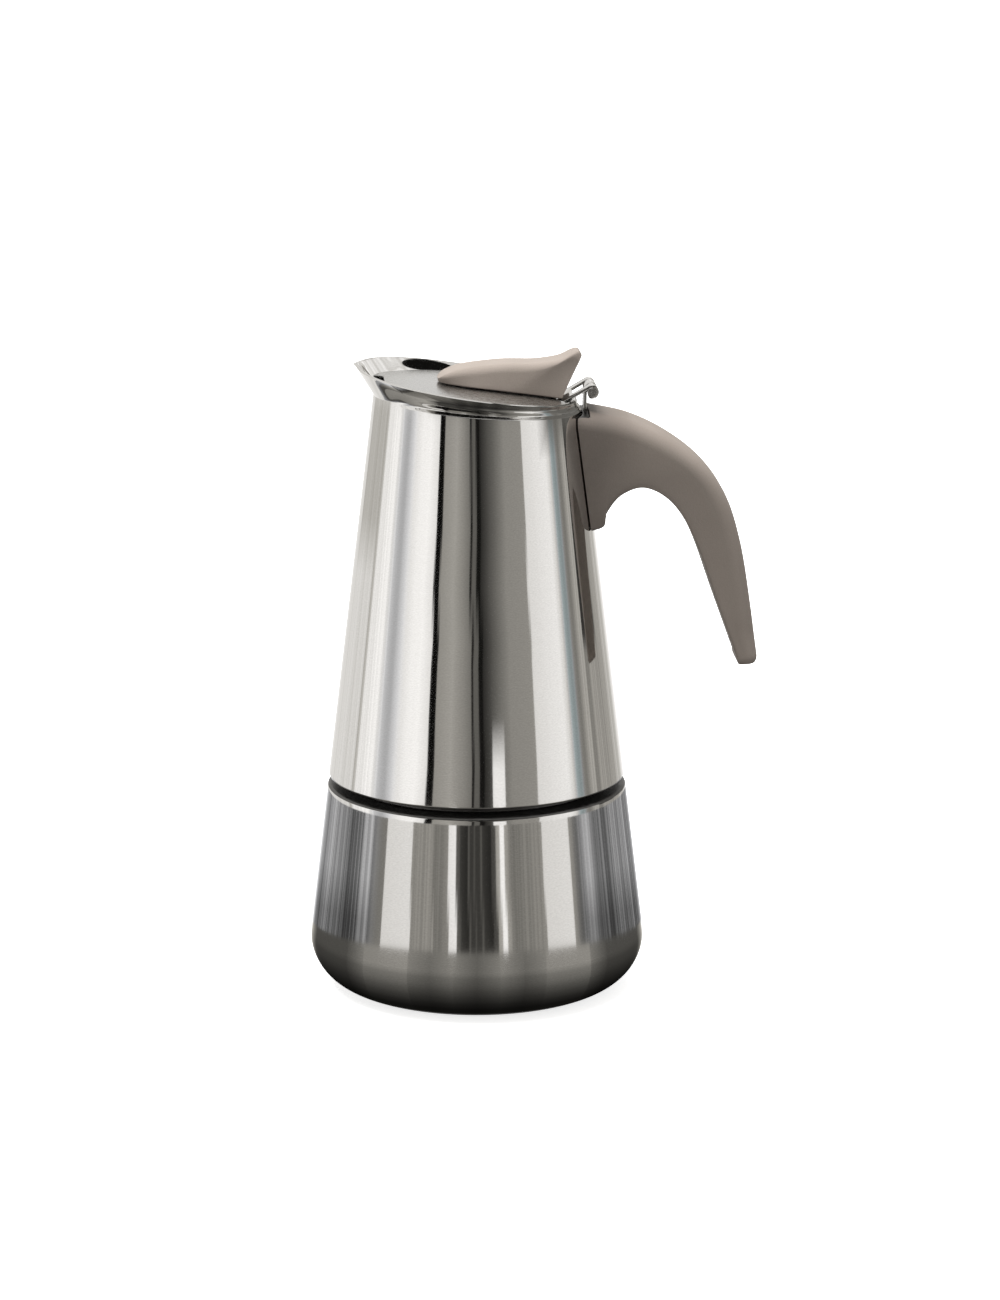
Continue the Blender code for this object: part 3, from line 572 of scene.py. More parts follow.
def hexagon_block(name, radius, low, high, bore):
    """A hexagon nut with chamfered corners."""
    bm = bmesh.new()
    add_cylinder(bm, radius, low, high, segments=6)
    block = finish_mesh(name, bm)
    inner = radius * math.cos(math.pi / 6)
    middle = (low + high) / 2
    slope = (radius - inner) * 0.6
    envelope = lathe("tool", [
        (0.0, low), (inner + 0.1, low), (radius + 0.05, low + slope), (radius + 0.05, middle),
        (radius + 0.05, high - slope), (inner + 0.1, high), (0.0, high)], 96, closed=False)
    cut(block, envelope, "INTERSECT")
    if bore:
        cut(block, rod_tool(bore, low - 1, high + 1))
    return block


def build_valve():
    matrix = valve_matrix()
    body = lathe("valve_core", softened([
        (1.4, -8.0), (1.4, -4.5), (3.3, -4.5), (3.3, 8.0), (4.6, 8.0), (4.6, 4.8), (5.0, 4.4), (5.0, -8.0)],
        0.25), 96)
    hexagon = hexagon_block("valve_hexagon", 7.5, 1.4, 4.4, 4.9)
    valve = place(joined("valve_housing", body, hexagon), matrix)
    dress(valve, "boiler", "valve_brass", "valve_body")
    turned("valve_ring", [(5.4, 0.35), (5.4, 1.05), (7.2, 1.05), (7.2, 0.35)], 0.2,
           "boiler", "seal_silicone", "valve_washer", 96, matrix=matrix)
    nut = place(hexagon_block("valve_lock_nut", 7.2, -5.2, -2.2, 5.35), matrix)
    dress(nut, "boiler", "valve_brass", "valve_nut")
    turned("valve_pin", [
        (0.0, -4.15), (2.8, -4.15), (2.8, -3.2), (0.75, -3.2), (0.75, 9.0), (0.0, 9.0)], 0.25,
        "relief_poppet", "valve_brass", "valve_poppet", 64, False, matrix)
    turned("valve_clip", [(1.1, 6.4), (1.1, 7.2), (2.95, 7.2), (2.95, 6.4)], 0.15,
           "boiler", "valve_brass", "valve_retainer", 64, matrix=matrix)
    spring = ridge_coil("valve_coil", 2.05, 0.28, -2.55, 1.7, 5.0, 40, 0.0, 10)
    dress(place(spring, matrix), "boiler", "satin_steel", "valve_spring")
    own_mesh(spring)


# --- funnel, seal, filter ---
def perforated_disc(name, radius, low, high, hole_r=0.8, spacing=3.6, rim=4.0):
    """A disc with a hexagonal field of round holes inside a plain rim."""
    disc = lathe(name, softened([(0.0, low), (radius, low), (radius, high), (0.0, high)],
                                0.2, closed=False), 128, closed=False)
    bm = bmesh.new()
    rows = int(radius / spacing) + 1
    for j in range(-rows, rows + 1):
        for i in range(-rows, rows + 1):
            x = (i + (j % 2) / 2) * spacing
            y = j * spacing * math.sqrt(3) / 2
            if math.hypot(x, y) <= radius - rim:
                add_cylinder(bm, hole_r, low - 1, high + 1, x, y, 16)
    return cut(disc, finish_mesh("tool", bm))


def build_funnel():
    flange_z = MOUTH_Z + GAP
    top = flange_z + 1.0
    turned("funnel_basket", [
        (5.4, 36.0), (5.4, 42.2), (33.6, 52.2), (34.6, 54.5), (34.8, top), (37.2, top), (37.2, flange_z),
        (35.8, flange_z), (35.6, 54.0), (34.4, 51.4), (6.6, 41.4), (6.6, 36.0)], 0.45,
        "funnel", "satin_steel", "funnel_cup")
    turned("funnel_tube", [(4.1, 6.0), (4.1, 42.0), (5.0, 42.0), (5.0, 6.0)], 0.3,
           "funnel", "satin_steel", "funnel_stem", 96)
    plate = perforated_disc("funnel_sieve", 33.6, 53.0, 53.8)
    dress(plate, "funnel", "satin_steel", "funnel_filter_plate")


def build_seal():
    turned("gasket_ring", [(29.0, 75.7), (29.0, 78.1), (37.0, 78.1), (37.0, 75.7)], 0.5,
           "seal", "seal_silicone", "gasket")
    plate = perforated_disc("upper_sieve", 32.0, 78.4, 79.1)
    dress(plate, "upper_filter", "satin_steel", "upper_filter_plate")


# --- jug: cone, collar and beak ---
def beak_angle(phi):
    """Degrees away from the spout direction."""
    return abs(180.0 - math.degrees(phi) % 360.0)


def rim_r(phi):
    """Distance of the rim from the pot's axis in the direction phi."""
    c = math.cos(phi) / RIM_A
    s = math.sin(phi) / RIM_B
    offset = RIM_CENTRE_X / RIM_A
    a = c * c + s * s
    b = -2 * c * offset
    root = (-b + math.sqrt(b * b - 4 * a * (offset * offset - 1))) / (2 * a)
    away = beak_angle(phi)
    flat = BEAK_FLAT * (1 - smooth(8, 52, away))
    ridge = BEAK_RIDGE * (1 - smooth(0, 7, away))
    return root - flat + ridge


def neck_point(phi):
    """Radius and height of the crease where the collar leaves the cone."""
    z = NECK_LINE_Z
    for _ in range(6):
        z = NECK_LINE_Z + NECK_LINE_SLOPE * cone_r(z) * math.cos(phi)
    z -= BEAK_NECK_DROP * (1 - smooth(10, 40, beak_angle(phi)))
    return cone_r(z), z


def crease_step(phi):
    """How far the cone's top edge rolls in at the crease."""
    return CREASE_STEP * smooth(40, 62, beak_angle(phi)) * (1 - 0.6 * smooth(120, 150, beak_angle(phi)))


def collar_point(phi, u):
    """Outer surface of the collar, from the crease (u = 0) to the rim (u = 1)."""
    neck, low = neck_point(phi)
    rim = rim_r(phi)
    high = rim_plane(rim * math.cos(phi)) + BEAK_LIFT * (1 - smooth(0, 20, beak_angle(phi)))
    power = 1 + (FLARE_POWER - 1) * smooth(28, 46, beak_angle(phi))
    dent = COLLAR_DENT * smooth(75, 115, beak_angle(phi))
    dent *= smooth(0.0, 0.45, u) * (1 - smooth(0.45, 0.95, u))
    dent += crease_step(phi) * (1 - smooth(0.0, 0.4, u))
    return neck + (rim - neck) * u ** power - dent, mix(low, high, u)


def jug_section(phi):
    """Closed (radius, z) section of the jug's wall in the direction phi."""
    low = JUG_BOTTOM_Z
    neck_z = neck_point(phi)[1]
    outer = [(cone_r(low) - 0.3, low), (cone_r(low + 0.12) - 0.1, low + 0.12),
             (cone_r(low + 0.4), low + 0.4), (cone_r(low + 0.5), low + 0.5)]
    step = crease_step(phi)
    outer += [(cone_r(z), z) for z in (90.0, 120.0, 150.0, neck_z - 1.5, neck_z - 0.92)]
    for inset, drop in ((0.0, 0.90), (0.04, 0.80), (0.12, 0.72), (0.5, 0.43), (0.9, 0.13), (1.0, 0.04)):
        outer.append((cone_r(neck_z - drop) - step * inset, neck_z - drop))
    levels = [0.0, 0.03] + [i / 24 for i in range(2, 24)] + [0.98]
    outer += [collar_point(phi, u) for u in levels]
    rim, top = collar_point(phi, 1.0)
    half = JUG_WALL / 2
    lip = []
    for i in range(7):
        angle = math.pi * i / 6
        lip.append((rim - half + half * math.cos(angle), top - 0.25 + 0.25 * math.sin(angle)))
    inner = [(r - JUG_WALL, z) for r, z in outer[::-1]]
    return outer + lip + inner


def build_jug_body():
    steps = 360
    rings = []
    for i in range(steps):
        phi = 2 * math.pi * i / steps
        rings.append([around(r, phi, z) for r, z in jug_section(phi)])
    jug = skin("jug_shell", rings, path_closed=True, sharp_angle=60)
    dress(jug, "jug", "polished_steel", "jug_body")


def build_jug_inside():
    low = JUG_BOTTOM_Z + 0.4
    top = 78.1
    margin = JUG_WALL + GAP
    ring = lathe("thread_collar", softened([
        (40.2, low), (40.2, top), (cone_r(top) - margin, top), (cone_r(low) - margin, low)], 0.3))
    ridge = ridge_coil("thread_collar_ridge", 40.3, THREAD_WIRE_R, 64.8 + PITCH / 2, PITCH, 1.75, 96, 0.12)
    insert = dress(joined("thread_insert", ring, ridge), "jug", "satin_steel", "jug_thread_ring")
    # Painted shade: the thread ring is dressed in near-black steel for the shade in the seam.
    insert.data.materials[0] = PAINTED_SHADE_STEEL
    turned("jug_base", [
        (7.4, 79.6), (7.4, 80.6), (40.7, 80.6), (40.7, 78.4), (33.4, 78.4), (32.6, 79.6)], 0.3,
        "jug", "satin_steel", "jug_floor")
    turned("riser_pipe", [
        (5.8, 79.9), (5.8, 83.0), (3.6, 150.0), (4.6, 150.0), (7.0, 83.0), (9.5, 82.0), (9.5, 81.0),
        (7.0, 81.0), (7.0, 79.9)], 0.3, "jug", "satin_steel", "riser_tube", 128)
    outer = arc(0.0, 148.2, 6.1, 90, 0, 14)
    inner = arc(0.0, 148.2, 5.15, 0, 90, 14)
    cap = lathe("riser_hood", outer + [(6.1, 145.6), (5.9, 145.5), (5.35, 145.5), (5.15, 145.7)] + inner,
                128, closed=False)
    cut(cap, box_tool((-1.6, -9.0, 147.5), (1.6, 9.0, 151.5)))
    dress(cap, "jug", "satin_steel", "riser_cap")


# --- lid ---
def collar_inside_r(phi, height):
    """Radius of the collar's inner face at a height."""
    low = neck_point(phi)[1]
    top = rim_plane(rim_r(phi) * math.cos(phi))
    u = min(max((height - low) / (top - low), 0.0), 1.0)
    return collar_point(phi, u)[0] - JUG_WALL


def lid_edge_r(phi):
    """Radius of the lid's edge, which follows the collar's inner face."""
    r = 30.0
    for _ in range(8):
        x = r * math.cos(phi)
        y = r * math.sin(phi)
        r = collar_inside_r(phi, lid_top(x, y) - LID_T) - LID_EDGE_GAP
    return min(r, 32.0)


SLOT_X = 27.0
SLOT_ANGLE = math.degrees(math.atan2(7.0, SLOT_X))
NOTCH_X = 23.4
NOTCH_ANGLE = math.degrees(math.atan2(7.3, NOTCH_X))
LID_CORE_R = 20.0


def lid_shelf_r(phi):
    """A ring that runs through the inner corners of the slot and of the notch."""
    slot_corner = SLOT_X / math.cos(math.radians(SLOT_ANGLE))
    notch_corner = NOTCH_X / math.cos(math.radians(NOTCH_ANGLE))
    away = beak_angle(phi)
    return mix(slot_corner, notch_corner, (away - SLOT_ANGLE) / (180 - NOTCH_ANGLE - SLOT_ANGLE))


def lid_column(phi, short_x):
    """Radii along one direction. In the slot or notch the lid ends at the line x = short_x."""
    shelf = abs(short_x / math.cos(phi)) if short_x else lid_shelf_r(phi)
    radii = [LID_CORE_R * i / 8 for i in range(9)] + [mix(LID_CORE_R, shelf, i / 3) for i in (1, 2, 3)]
    if short_x is None:
        edge = lid_edge_r(phi)
        radii += [mix(shelf, edge, i / 4) for i in (1, 2, 3, 4)]
    return radii


def lid_patch(bm, start, end, steps, short_x):
    rows = []
    for i in range(steps + 1):
        phi = math.radians(mix(start, end, i / steps))
        rows.append([bm.verts.new(around(r, phi, lid_top(r * math.cos(phi), r * math.sin(phi))) * MM)
                     for r in lid_column(phi, short_x)])
    grid_faces(bm, rows, wrap_columns=False)


def build_lid():
    bm = bmesh.new()
    lid_patch(bm, -NOTCH_ANGLE, NOTCH_ANGLE, 24, NOTCH_X)
    lid_patch(bm, NOTCH_ANGLE, 180 - SLOT_ANGLE, 120, None)
    lid_patch(bm, 180 - SLOT_ANGLE, 180 + SLOT_ANGLE, 24, -SLOT_X)
    lid_patch(bm, 180 + SLOT_ANGLE, 360 - NOTCH_ANGLE, 120, None)
    bmesh.ops.remove_doubles(bm, verts=bm.verts, dist=0.000002)
    bmesh.ops.dissolve_degenerate(bm, edges=bm.edges, dist=0.0000001)
    lid = finish_mesh("lid_sheet", bm)
    if lid.data.polygons[0].normal.z < 0:
        lid.data.flip_normals()
    shell = lid.modifiers.new("sheet", "SOLIDIFY")
    shell.thickness = LID_T * MM
    shell.offset = -1.0
    apply_modifiers(lid)
    dress(bevelled(lid, 0.22, 50), "lid", "polished_steel", "lid_plate").data.materials[0] = LID_STEEL


# --- hinge ---
def curled_sheet(name, start, bend, curl_from, curl_to, half_width):
    """A sheet strip that runs by two (x, z) points and ends in a curl round the hinge pin."""
    curl = arc(PIN_X, PIN_Z, KNUCKLE_R - SHEET_T / 2, curl_from, curl_to, 48)
    path = softened([start, bend, curl[0]], 1.6, closed=False, steps=8)[:-1] + curl
    left = []
    right = []
    for before, point, after in zip(path[:1] + path, path, path[1:] + path[-1:]):
        along = (Vector(after) - Vector(before)).normalized()
        side = Vector((-along.y, along.x)) * SHEET_T / 2
        left.append(Vector(point) + side)
        right.append(Vector(point) - side)
    rings = [[(x, y, z) for x, z in left + right[::-1]] for y in (-half_width, half_width)]
    return skin(name, rings, capped=True)


def build_hinge():
    foot_drop = LID_T + GAP + SHEET_T / 2
    foot_end = NOTCH_X + 0.3
    leaf = curled_sheet("hinge_leaf", (LEAF_FOOT_X, lid_top(LEAF_FOOT_X, 0) - foot_drop),
                        (foot_end, lid_top(foot_end, 0) - foot_drop - 0.1), 127, -120, LEAF_HALF)
    cut(leaf, box_tool((28.2, -LEAF_SLOT_HALF, 170), (45, LEAF_SLOT_HALF, 190)))
    dress(bevelled(leaf, 0.16), "lid", "polished_steel", "lid_hinge_leaf")
    offset = GAP + SHEET_T / 2
    strap = curled_sheet("hinge_wall_strap", (cone_r(160.0) + offset, 160.0),
                         (cone_r(172.0) + offset, 172.0), 190, -80, STRAP_HALF)
    dress(bevelled(strap, 0.16), "jug", "polished_steel", "hinge_strap")
    end = LEAF_HALF + 1.0
    turn = Matrix.Translation(Vector((PIN_X, 0.0, PIN_Z)) * MM) @ Matrix.Rotation(math.radians(90), 4, "X")
    turned("hinge_rod", [
        (0.0, end), (1.5, end), (1.5, end - 0.7), (0.9, end - 0.7), (0.9, 0.7 - end), (1.5, 0.7 - end),
        (1.5, -end), (0.0, -end)], 0.3, "jug", "satin_steel", "hinge_pin", 64, False, turn)


# --- knob ---
def rounded_section(half, high, low_round, high_round, low_steps=4, high_steps=12):
    """Half-outline of a rounded block, as (side, height) from the bottom centre to the top centre."""
    points = [(half * k / 6, 0.0) for k in range(5)]
    points += arc(half - low_round, low_round, low_round, -90, 0, low_steps)
    straight = high - high_round - low_round
    points += [(half, low_round + straight * k / 5) for k in range(1, 5)]
    points += arc(half - high_round, high - high_round, high_round, 0, 90, high_steps)
    points += [((half - high_round) * k / 5, high) for k in range(4, -1, -1)]
    return points


def both_sides(half_outline):
    """Close a half-outline by its mirror image."""
    return half_outline + [(-side, height) for side, height in half_outline[-2:0:-1]]


KNOB_NOSE_X = -11.2
KNOB_TAIL_X = 24.6
KNOB_HALF = 8.6
KNOB_EDGE = 2.4
KNOB_TAPER = 0.24
KNOB_CREST = ((-11.4, 183.9), (-9.0, 185.6), (-3.6, 187.3), (7.5, 188.5), (17.0, 188.5), (24.0, 189.5),
              (28.2, 191.4), (29.9, 191.7), (30.8, 190.6))
KNOB_SCREWS = (("front", -3.0), ("rear", 8.0))


def knob_half_width(t):
    """Half-width along the knob, from the nose (0) to the tail (1)."""
    nose = math.sqrt(max(0.0, 1 - (1 - min(t / 0.42, 1.0)) ** 2))
    return KNOB_HALF * (0.16 + 0.84 * nose) * (1 - 0.16 * smooth(0.55, 1.0, t))


def build_knob():
    crest = curve_through(KNOB_CREST, 12)
    rings = []
    count = len(crest) - 1
    for i, (top_x, top_z) in enumerate(crest):
        t = i / count
        low_x = mix(KNOB_NOSE_X, KNOB_TAIL_X, t)
        half = knob_half_width(t)
        low_z = lid_top(low_x, 0) + GAP
        height = top_z - low_z
        edge = min(KNOB_EDGE, half * 0.6, height * 0.4)
        ring = []
        for side, level in both_sides(rounded_section(half, height, 0.4, edge)):
            lean = level / height
            narrow = 1 - min(KNOB_TAPER * level, 0.3 * half) / half
            ring.append((low_x + (top_x - low_x) * lean, side * narrow, low_z + level))
        rings.append(ring)
    knob = skin("knob_grip", rings, capped=True, sharp_angle=50)
    for _, x in KNOB_SCREWS:
        cut(knob, rod_tool(1.6, 170, lid_top(x, 0) + 4.6, x))
    dress(knob, "lid", "taupe_plastic", "knob")


# --- handle ---
HANDLE_OUTER = ((26.0, 175.6), (34.2, 174.3), (45.5, 171.7), (56.6, 166.3), (66.6, 158.4), (73.6, 148.2),
                (78.2, 133.5), (81.4, 114.5), (83.3, 100.0))
HANDLE_INNER = ((26.0, 138.8), (36.2, 140.6), (37.6, 144.8), (42.0, 150.1), (49.2, 152.0), (57.4, 147.0),
                (64.0, 135.9), (70.6, 117.6), (77.0, 99.9))
HANDLE_ROOT_HALF = 12.5
HANDLE_TIP_HALF = 7.6
HANDLE_EDGE = 5.2
HANDLE_SCREW_X = 46.0
NOTCH_LOW_Z = 173.3
NOTCH_END_X = 32.8


def build_handle():
    outer = curve_through(HANDLE_OUTER, 10)
    inner = curve_through(HANDLE_INNER, 10)
    rings = []
    count = len(outer) - 1
    for i, (high, low) in enumerate(zip(outer, inner)):
        t = i / count
        half = mix(HANDLE_ROOT_HALF, HANDLE_TIP_HALF, smooth(0.1, 1.0, t))
        low_point = Vector(low)
        high_point = Vector(high)
        depth = (high_point - low_point).length
        edge = min(HANDLE_EDGE, half * 0.8, depth * 0.6)
        ring = []
        for side, level in both_sides(rounded_section(half, depth, 0.8, edge)):
            x, z = low_point.lerp(high_point, level / depth)
            ring.append((x, side, z))
        rings.append(ring)
    centre = (Vector(outer[-1]) + Vector(inner[-1])) / 2
    last = rings[-1]
    for k in range(1, 9):
        fall = math.sin(math.pi / 2 * k / 8)
        inset = 1 - math.cos(math.pi / 2 * k / 8)
        rings.append([(mix(x, centre.x, 0.32 * inset), side * (1 - 0.2 * inset),
                       mix(z, centre.y, 0.5 * fall) - 2.3 * fall) for x, side, z in last])
    handle = skin("handle_grip", rings, capped=True, sharp_angle=50)
    low_z, high_z = 120.0, 190.0
    wall = lathe("tool", [(0.0, low_z), (cone_r(low_z) + GAP, low_z), (cone_r(high_z) + GAP, high_z),
                          (0.0, high_z)], 256, closed=False)
    cut(handle, wall)
    cut(handle, box_tool((20, -20, NOTCH_LOW_Z), (NOTCH_END_X, 20, 182)))
    cut(handle, box_tool((28, -STRAP_HALF - 0.4, 159.4), (34.4, STRAP_HALF + 0.4, 173)))
    cut(handle, rod_tool(1.85, 145, 161.4, HANDLE_SCREW_X))
    cut(handle, rod_tool(3.4, 145, 153.6, HANDLE_SCREW_X))
    dress(handle, "jug", "taupe_plastic", "handle")
    # Painted shade: the handle's plastic darkens towards its root.
    handle.data.materials[0] = HANDLE_PLASTIC_PAINTED_SHADE
    # Painted shade: the notch's floor and the faces round the strap's slot get near-black steel, standing
    # for the shade in the notch.
    handle.data.materials.append(PAINTED_SHADE_STEEL)
    for face in handle.data.polygons:
        centre = face.center / MM
        floor = centre.x < NOTCH_END_X and abs(centre.z - NOTCH_LOW_Z) < 0.1
        if floor or (centre.x < 34.6 and abs(centre.y) < STRAP_HALF + 0.5 and 159 < centre.z < 173.4):
            face.material_index = 1


# --- stage ---
def build_camera():
    azimuth = Matrix.Rotation(math.radians(CAMERA_AZIMUTH), 4, "Z")
    spot = Matrix.Translation(Vector((0.0, -CAMERA_DISTANCE, CAMERA_HEIGHT)) * MM)
    yaw = Matrix.Rotation(math.radians(CAMERA_YAW), 4, "Z")
    pitch = Matrix.Rotation(math.radians(90 - CAMERA_PITCH), 4, "X")
    data = bpy.data.cameras.new("camera")
    data.sensor_fit = "VERTICAL"
    data.sensor_height = SENSOR_HEIGHT
    data.lens = CAMERA_LENS
    data.clip_start = 0.01
    data.clip_end = 20.0
    camera = linked("camera", data)
    camera.matrix_world = azimuth @ spot @ yaw @ pitch
    bpy.context.scene.camera = camera
    return camera


def stage_material(name, one_sided, soft_edge):
    """Light from a mesh's "level" colour, seen from above only or fading out with the colour's alpha."""
    nodes = Nodes(bpy.data.materials.new(name), emptied=True)
    colour = nodes.add("Attribute", attribute_name="level")
    shown = nodes.add("Emission", {"Color": colour.outputs["Color"]}).outputs[0]
    clear = nodes.add("BsdfTransparent").outputs[0]
    if one_sided:
        shown = nodes.blend(nodes.add("NewGeometry").outputs["Backfacing"], shown, clear)
    if soft_edge:
        shown = nodes.blend(colour.outputs["Alpha"], clear, shown)
    nodes.add("OutputMaterial", {"Surface": shown})
    nodes.owner.cycles.emission_sampling = "NONE"
    return nodes.owner


# Soft boxes and dark flags around the pot, from the left limb to the right. Each band is (degrees round
# the pot where its left edge shows, brightness there in percent, brightness where the next one starts).
# The numbers were typed after reading the photograph's brightness at such angles, and the
# surfaces are laid where the main camera sees them in the steel, so they suit that side of the pot only.
JUG_BANDS = (
    (-92, 84, 80), (-76, 82, 81), (-56.6, 66, 72), (-54.6, 90, 95.5), (-47.5, 95.5, 90),
    (-44.5, 89, 67), (-39.6, 67, 68), (-37.6, 70, 86), (-34, 87, 95), (-29, 95, 96), (-25, 97, 88),
    (-19.7, 5, 5), (-16.8, 56, 62), (-10, 61, 53), (-6, 53, 44), (-2.6, 10, 10), (-1.7, 37, 36),
    (0.4, 8, 8), (2.3, 17, 30), (6, 31, 43), (10, 43, 53), (14, 53, 55), (24.2, 85, 87.5),
    (30, 88, 91.5), (38.2, 91, 83), (40.6, 80, 60), (43.2, 57, 52), (46.2, 50, 44), (48.4, 50, 58),
    (51, 62, 62), (53.4, 52, 52), (56, 58, 58), (61, 55, 55), (65, 60, 62), (70, 66, 72), (77, 78, 95),
    (84, 98, 99), (92, 99, 99))
BOILER_BANDS = (
    (-92, 95, 92), (-84, 80, 50), (-76, 52, 62), (-67, 60, 52), (-61, 48, 46), (-55.6, 34, 34),
    (-52.6, 44, 44), (-46.8, 56, 66), (-41.6, 49, 49), (-38, 46, 46), (-35.3, 83, 86), (-24, 52, 55),
    (-15.5, 42, 52), (-10.1, 88, 92), (-7.2, 36, 30), (-5.7, 22, 15), (-2.9, 32, 32), (-2.2, 22, 22),
    (-0.8, 30, 30), (-0.2, 22, 22), (1.6, 33, 33), (2.3, 22, 14), (5.6, 26, 28), (7.3, 60, 66),
    (8.8, 95, 95), (10.4, 62, 56), (11.9, 50, 44), (14, 46, 54), (24.9, 83, 86), (36.3, 55, 50),
    (38, 44, 38), (40.4, 44, 56), (42.6, 62, 60), (47, 50, 42), (49.3, 35, 36), (52, 42, 42),
    (59, 50, 50), (67, 58, 52), (74, 48, 44), (80, 50, 98), (92, 98, 98))
TABLE_BANDS = (
    (-92, 95, 90), (-83, 70, 30), (-74, 28, 30), (-50, 32, 48), (-42, 52, 56), (-24, 50, 42),
    (-16, 42, 52), (-8, 50, 38), (0, 38, 50), (8, 52, 42), (16, 40, 50), (24, 54, 56), (42, 48, 32),
    (50, 30, 28), (74, 30, 70), (83, 90, 95), (92, 95, 95))
UPPER_BANDS = (
    (-92, 80, 80), (-60, 86, 86), (-28, 80, 8), (-22, 8, 8), (22, 8, 80), (28, 86, 86), (62, 60, 44),
    (74, 44, 50), (79, 50, 74), (86, 76, 80), (92, 80, 80))
# Lean of the surface at the pot's foot in degrees, and how much of the table's light is left there.
TABLE_FADE = ((-60, 0.12), (-45, 0.13), (-35, 0.24), (-25, 0.40), (-16, 0.56), (-8, 0.72), (0, 0.82),
              (3.5, 0.92))
SEAM_Z = (SHOULDER_Z + JUG_BOTTOM_Z) / 2
STEEL_TONE = 0.66                 # share of light that the polished steel gives back
WALL_COLUMNS = 1100
WALL_R = 300.0
WALL_TOP = 900.0
FOOT_Z = 18.6                     # the bands end at this height on the boiler
WALL_HEIGHTS = (FOOT_Z + 0.6, 26.0, 40.0, SEAM_Z - 0.01, SEAM_Z + 0.01, 76.0, 90.0, 106.0, 112.0, 128.0,
                145.0, 176.0)
LIMB_ANGLE = 91.6
TABLE_REACH = 150.0
FLAG_PHI = 115.0
FLAG_PHI_HALF = 15.0
FLAG_U = 0.72
FLAG_U_HALF = 0.25
FLAG_REACH = 200.0


def band_level(bands, angle):
    """Brightness of the bands, from 0 to 1, at an angle round the pot."""
    for (start, here, there), (end, _, _) in zip(bands, bands[1:]):
        if angle < end:
            return mix(here, there, max(angle - start, 0.0) / (end - start)) / 100
    return bands[-1][1] / 100


def band_chill(angle, z):
    """How far the bands lose their warm tint: 1 is neutral grey, 2 is faintly blue."""
    if z < SEAM_Z:
        return smooth(36, 42, abs(angle))
    pale = 1 - smooth(3, 7, abs(angle + 38.5))
    return max(pale, 2 * (1 - smooth(1.0, 3.0, abs(angle - 43.8))))


def display_to_light(value):
    """Linear light of a display brightness from 0 to 1."""
    return value / 12.92 if value <= 0.04045 else ((value + 0.055) / 1.055) ** 2.4


def mirrored(camera, angle, r, z, lean):
    """A point at an angle round the pot, where the surface leans, and the view ray's reflection there."""
    eye = camera.matrix_world.translation / MM
    towards = math.atan2(eye.y, eye.x) + math.radians(angle)
    normal = around(math.cos(lean), towards, math.sin(lean))
    point = around(r, towards, z)
    return point, (point - eye).normalized().reflect(normal)


def seen_on_wall(camera, angle, z):
    """Where the studio wall shows in the cone's mirror surface."""
    point, ray = mirrored(camera, angle, cone_r(z), z, CONE_ANGLE)
    a = ray.x ** 2 + ray.y ** 2
    b = point.x * ray.x + point.y * ray.y
    c = point.x ** 2 + point.y ** 2 - WALL_R ** 2
    return point + ray * ((-b + math.sqrt(b * b - a * c)) / a)


def seen_on_table(camera, angle, lean):
    """Where the studio table shows in the rounding at the pot's foot."""
    r = BASE_FLAT_R + BASE_ROUND * math.cos(lean)
    z = BASE_ROUND + BASE_ROUND * math.sin(lean)
    point, ray = mirrored(camera, angle, r, z, lean)
    return point + ray * TABLE_REACH


def tinted_light(level, chill=0.0):
    """Light that shows at a display brightness: the darker the warmer, unless it is chilled."""
    light = display_to_light(min(max(level, 0.01), 1.0)) / STEEL_TONE
    cool = min(chill, 1.0)
    blue = max(chill - 1.0, 0.0)
    warmth = (1 - smooth(0.55, 0.95, level)) * (1 - cool)
    return (light * (1 - 0.14 * blue), light * (0.99 + 0.015 * cool - 0.025 * warmth),
            light * (0.98 + 0.05 * cool - 0.09 * warmth))


def stage_mesh(name, rows, one_sided=False, soft_edge=False):
    """A surface that only shows in reflections, from rows of (place, brightness[, chill])."""
    bm = bmesh.new()
    layer = bm.verts.layers.float_color.new("level")
    grid = []
    for j, row in enumerate(rows):
        vertices = []
        for i, (spot, level, *chill) in enumerate(row):
            vertex = bm.verts.new(spot * MM)
            border = i in (0, len(row) - 1) or j in (0, len(rows) - 1)
            vertex[layer] = (*tinted_light(level, *chill), 0.0 if soft_edge and border else 1.0)
            vertices.append(vertex)
        grid.append(vertices)
    grid_faces(bm, grid, wrap_columns=False)
    bm.normal_update()
    if one_sided and sum(face.normal.z for face in bm.faces) < 0:
        bmesh.ops.reverse_faces(bm, faces=bm.faces)
    stage = linked(name, to_mesh(name, bm))
    stage.data.materials.append(stage_material(name, one_sided, soft_edge))
    for use in ("camera", "diffuse", "shadow", "transmission"):
        setattr(stage, "visible_" + use, False)


def wall_level(angle, z, coarse, fine):
    """Brightness of the wall where it shows at an angle and height of the cone, with its streaks."""
    side = smooth(36, 46, abs(angle)) * (1 - smooth(76, 84, abs(angle)))
    moved = angle + 0.45 * math.sin(z * 0.21) * (1 - smooth(22, 30, abs(angle)))
    if z < SEAM_Z:
        dimmed = 0.72 if z < 30 else 1.0
        level = band_level(BOILER_BANDS, moved) * mix(1.0, dimmed, side) + coarse * 0.12 * side
        return level + fine * 0.04 if 12 < abs(angle) < 24 else level
    moved += 0.018 * (z - 118) * (1 - smooth(4, 9, abs(angle)))
    level = band_level(JUG_BANDS, moved)
    if z < 80 and 6.2 < angle < 11:         # a bright foot beside the middle line
        level = 0.92
    level += coarse * 0.05 * side
    if z > 130 and -76 < angle < -56.6:     # the left limb is greyer towards the top
        level -= 0.13
    if z > 110 and 53.4 < angle < 64:       # dark beside the handle
        level -= 0.30
    return level


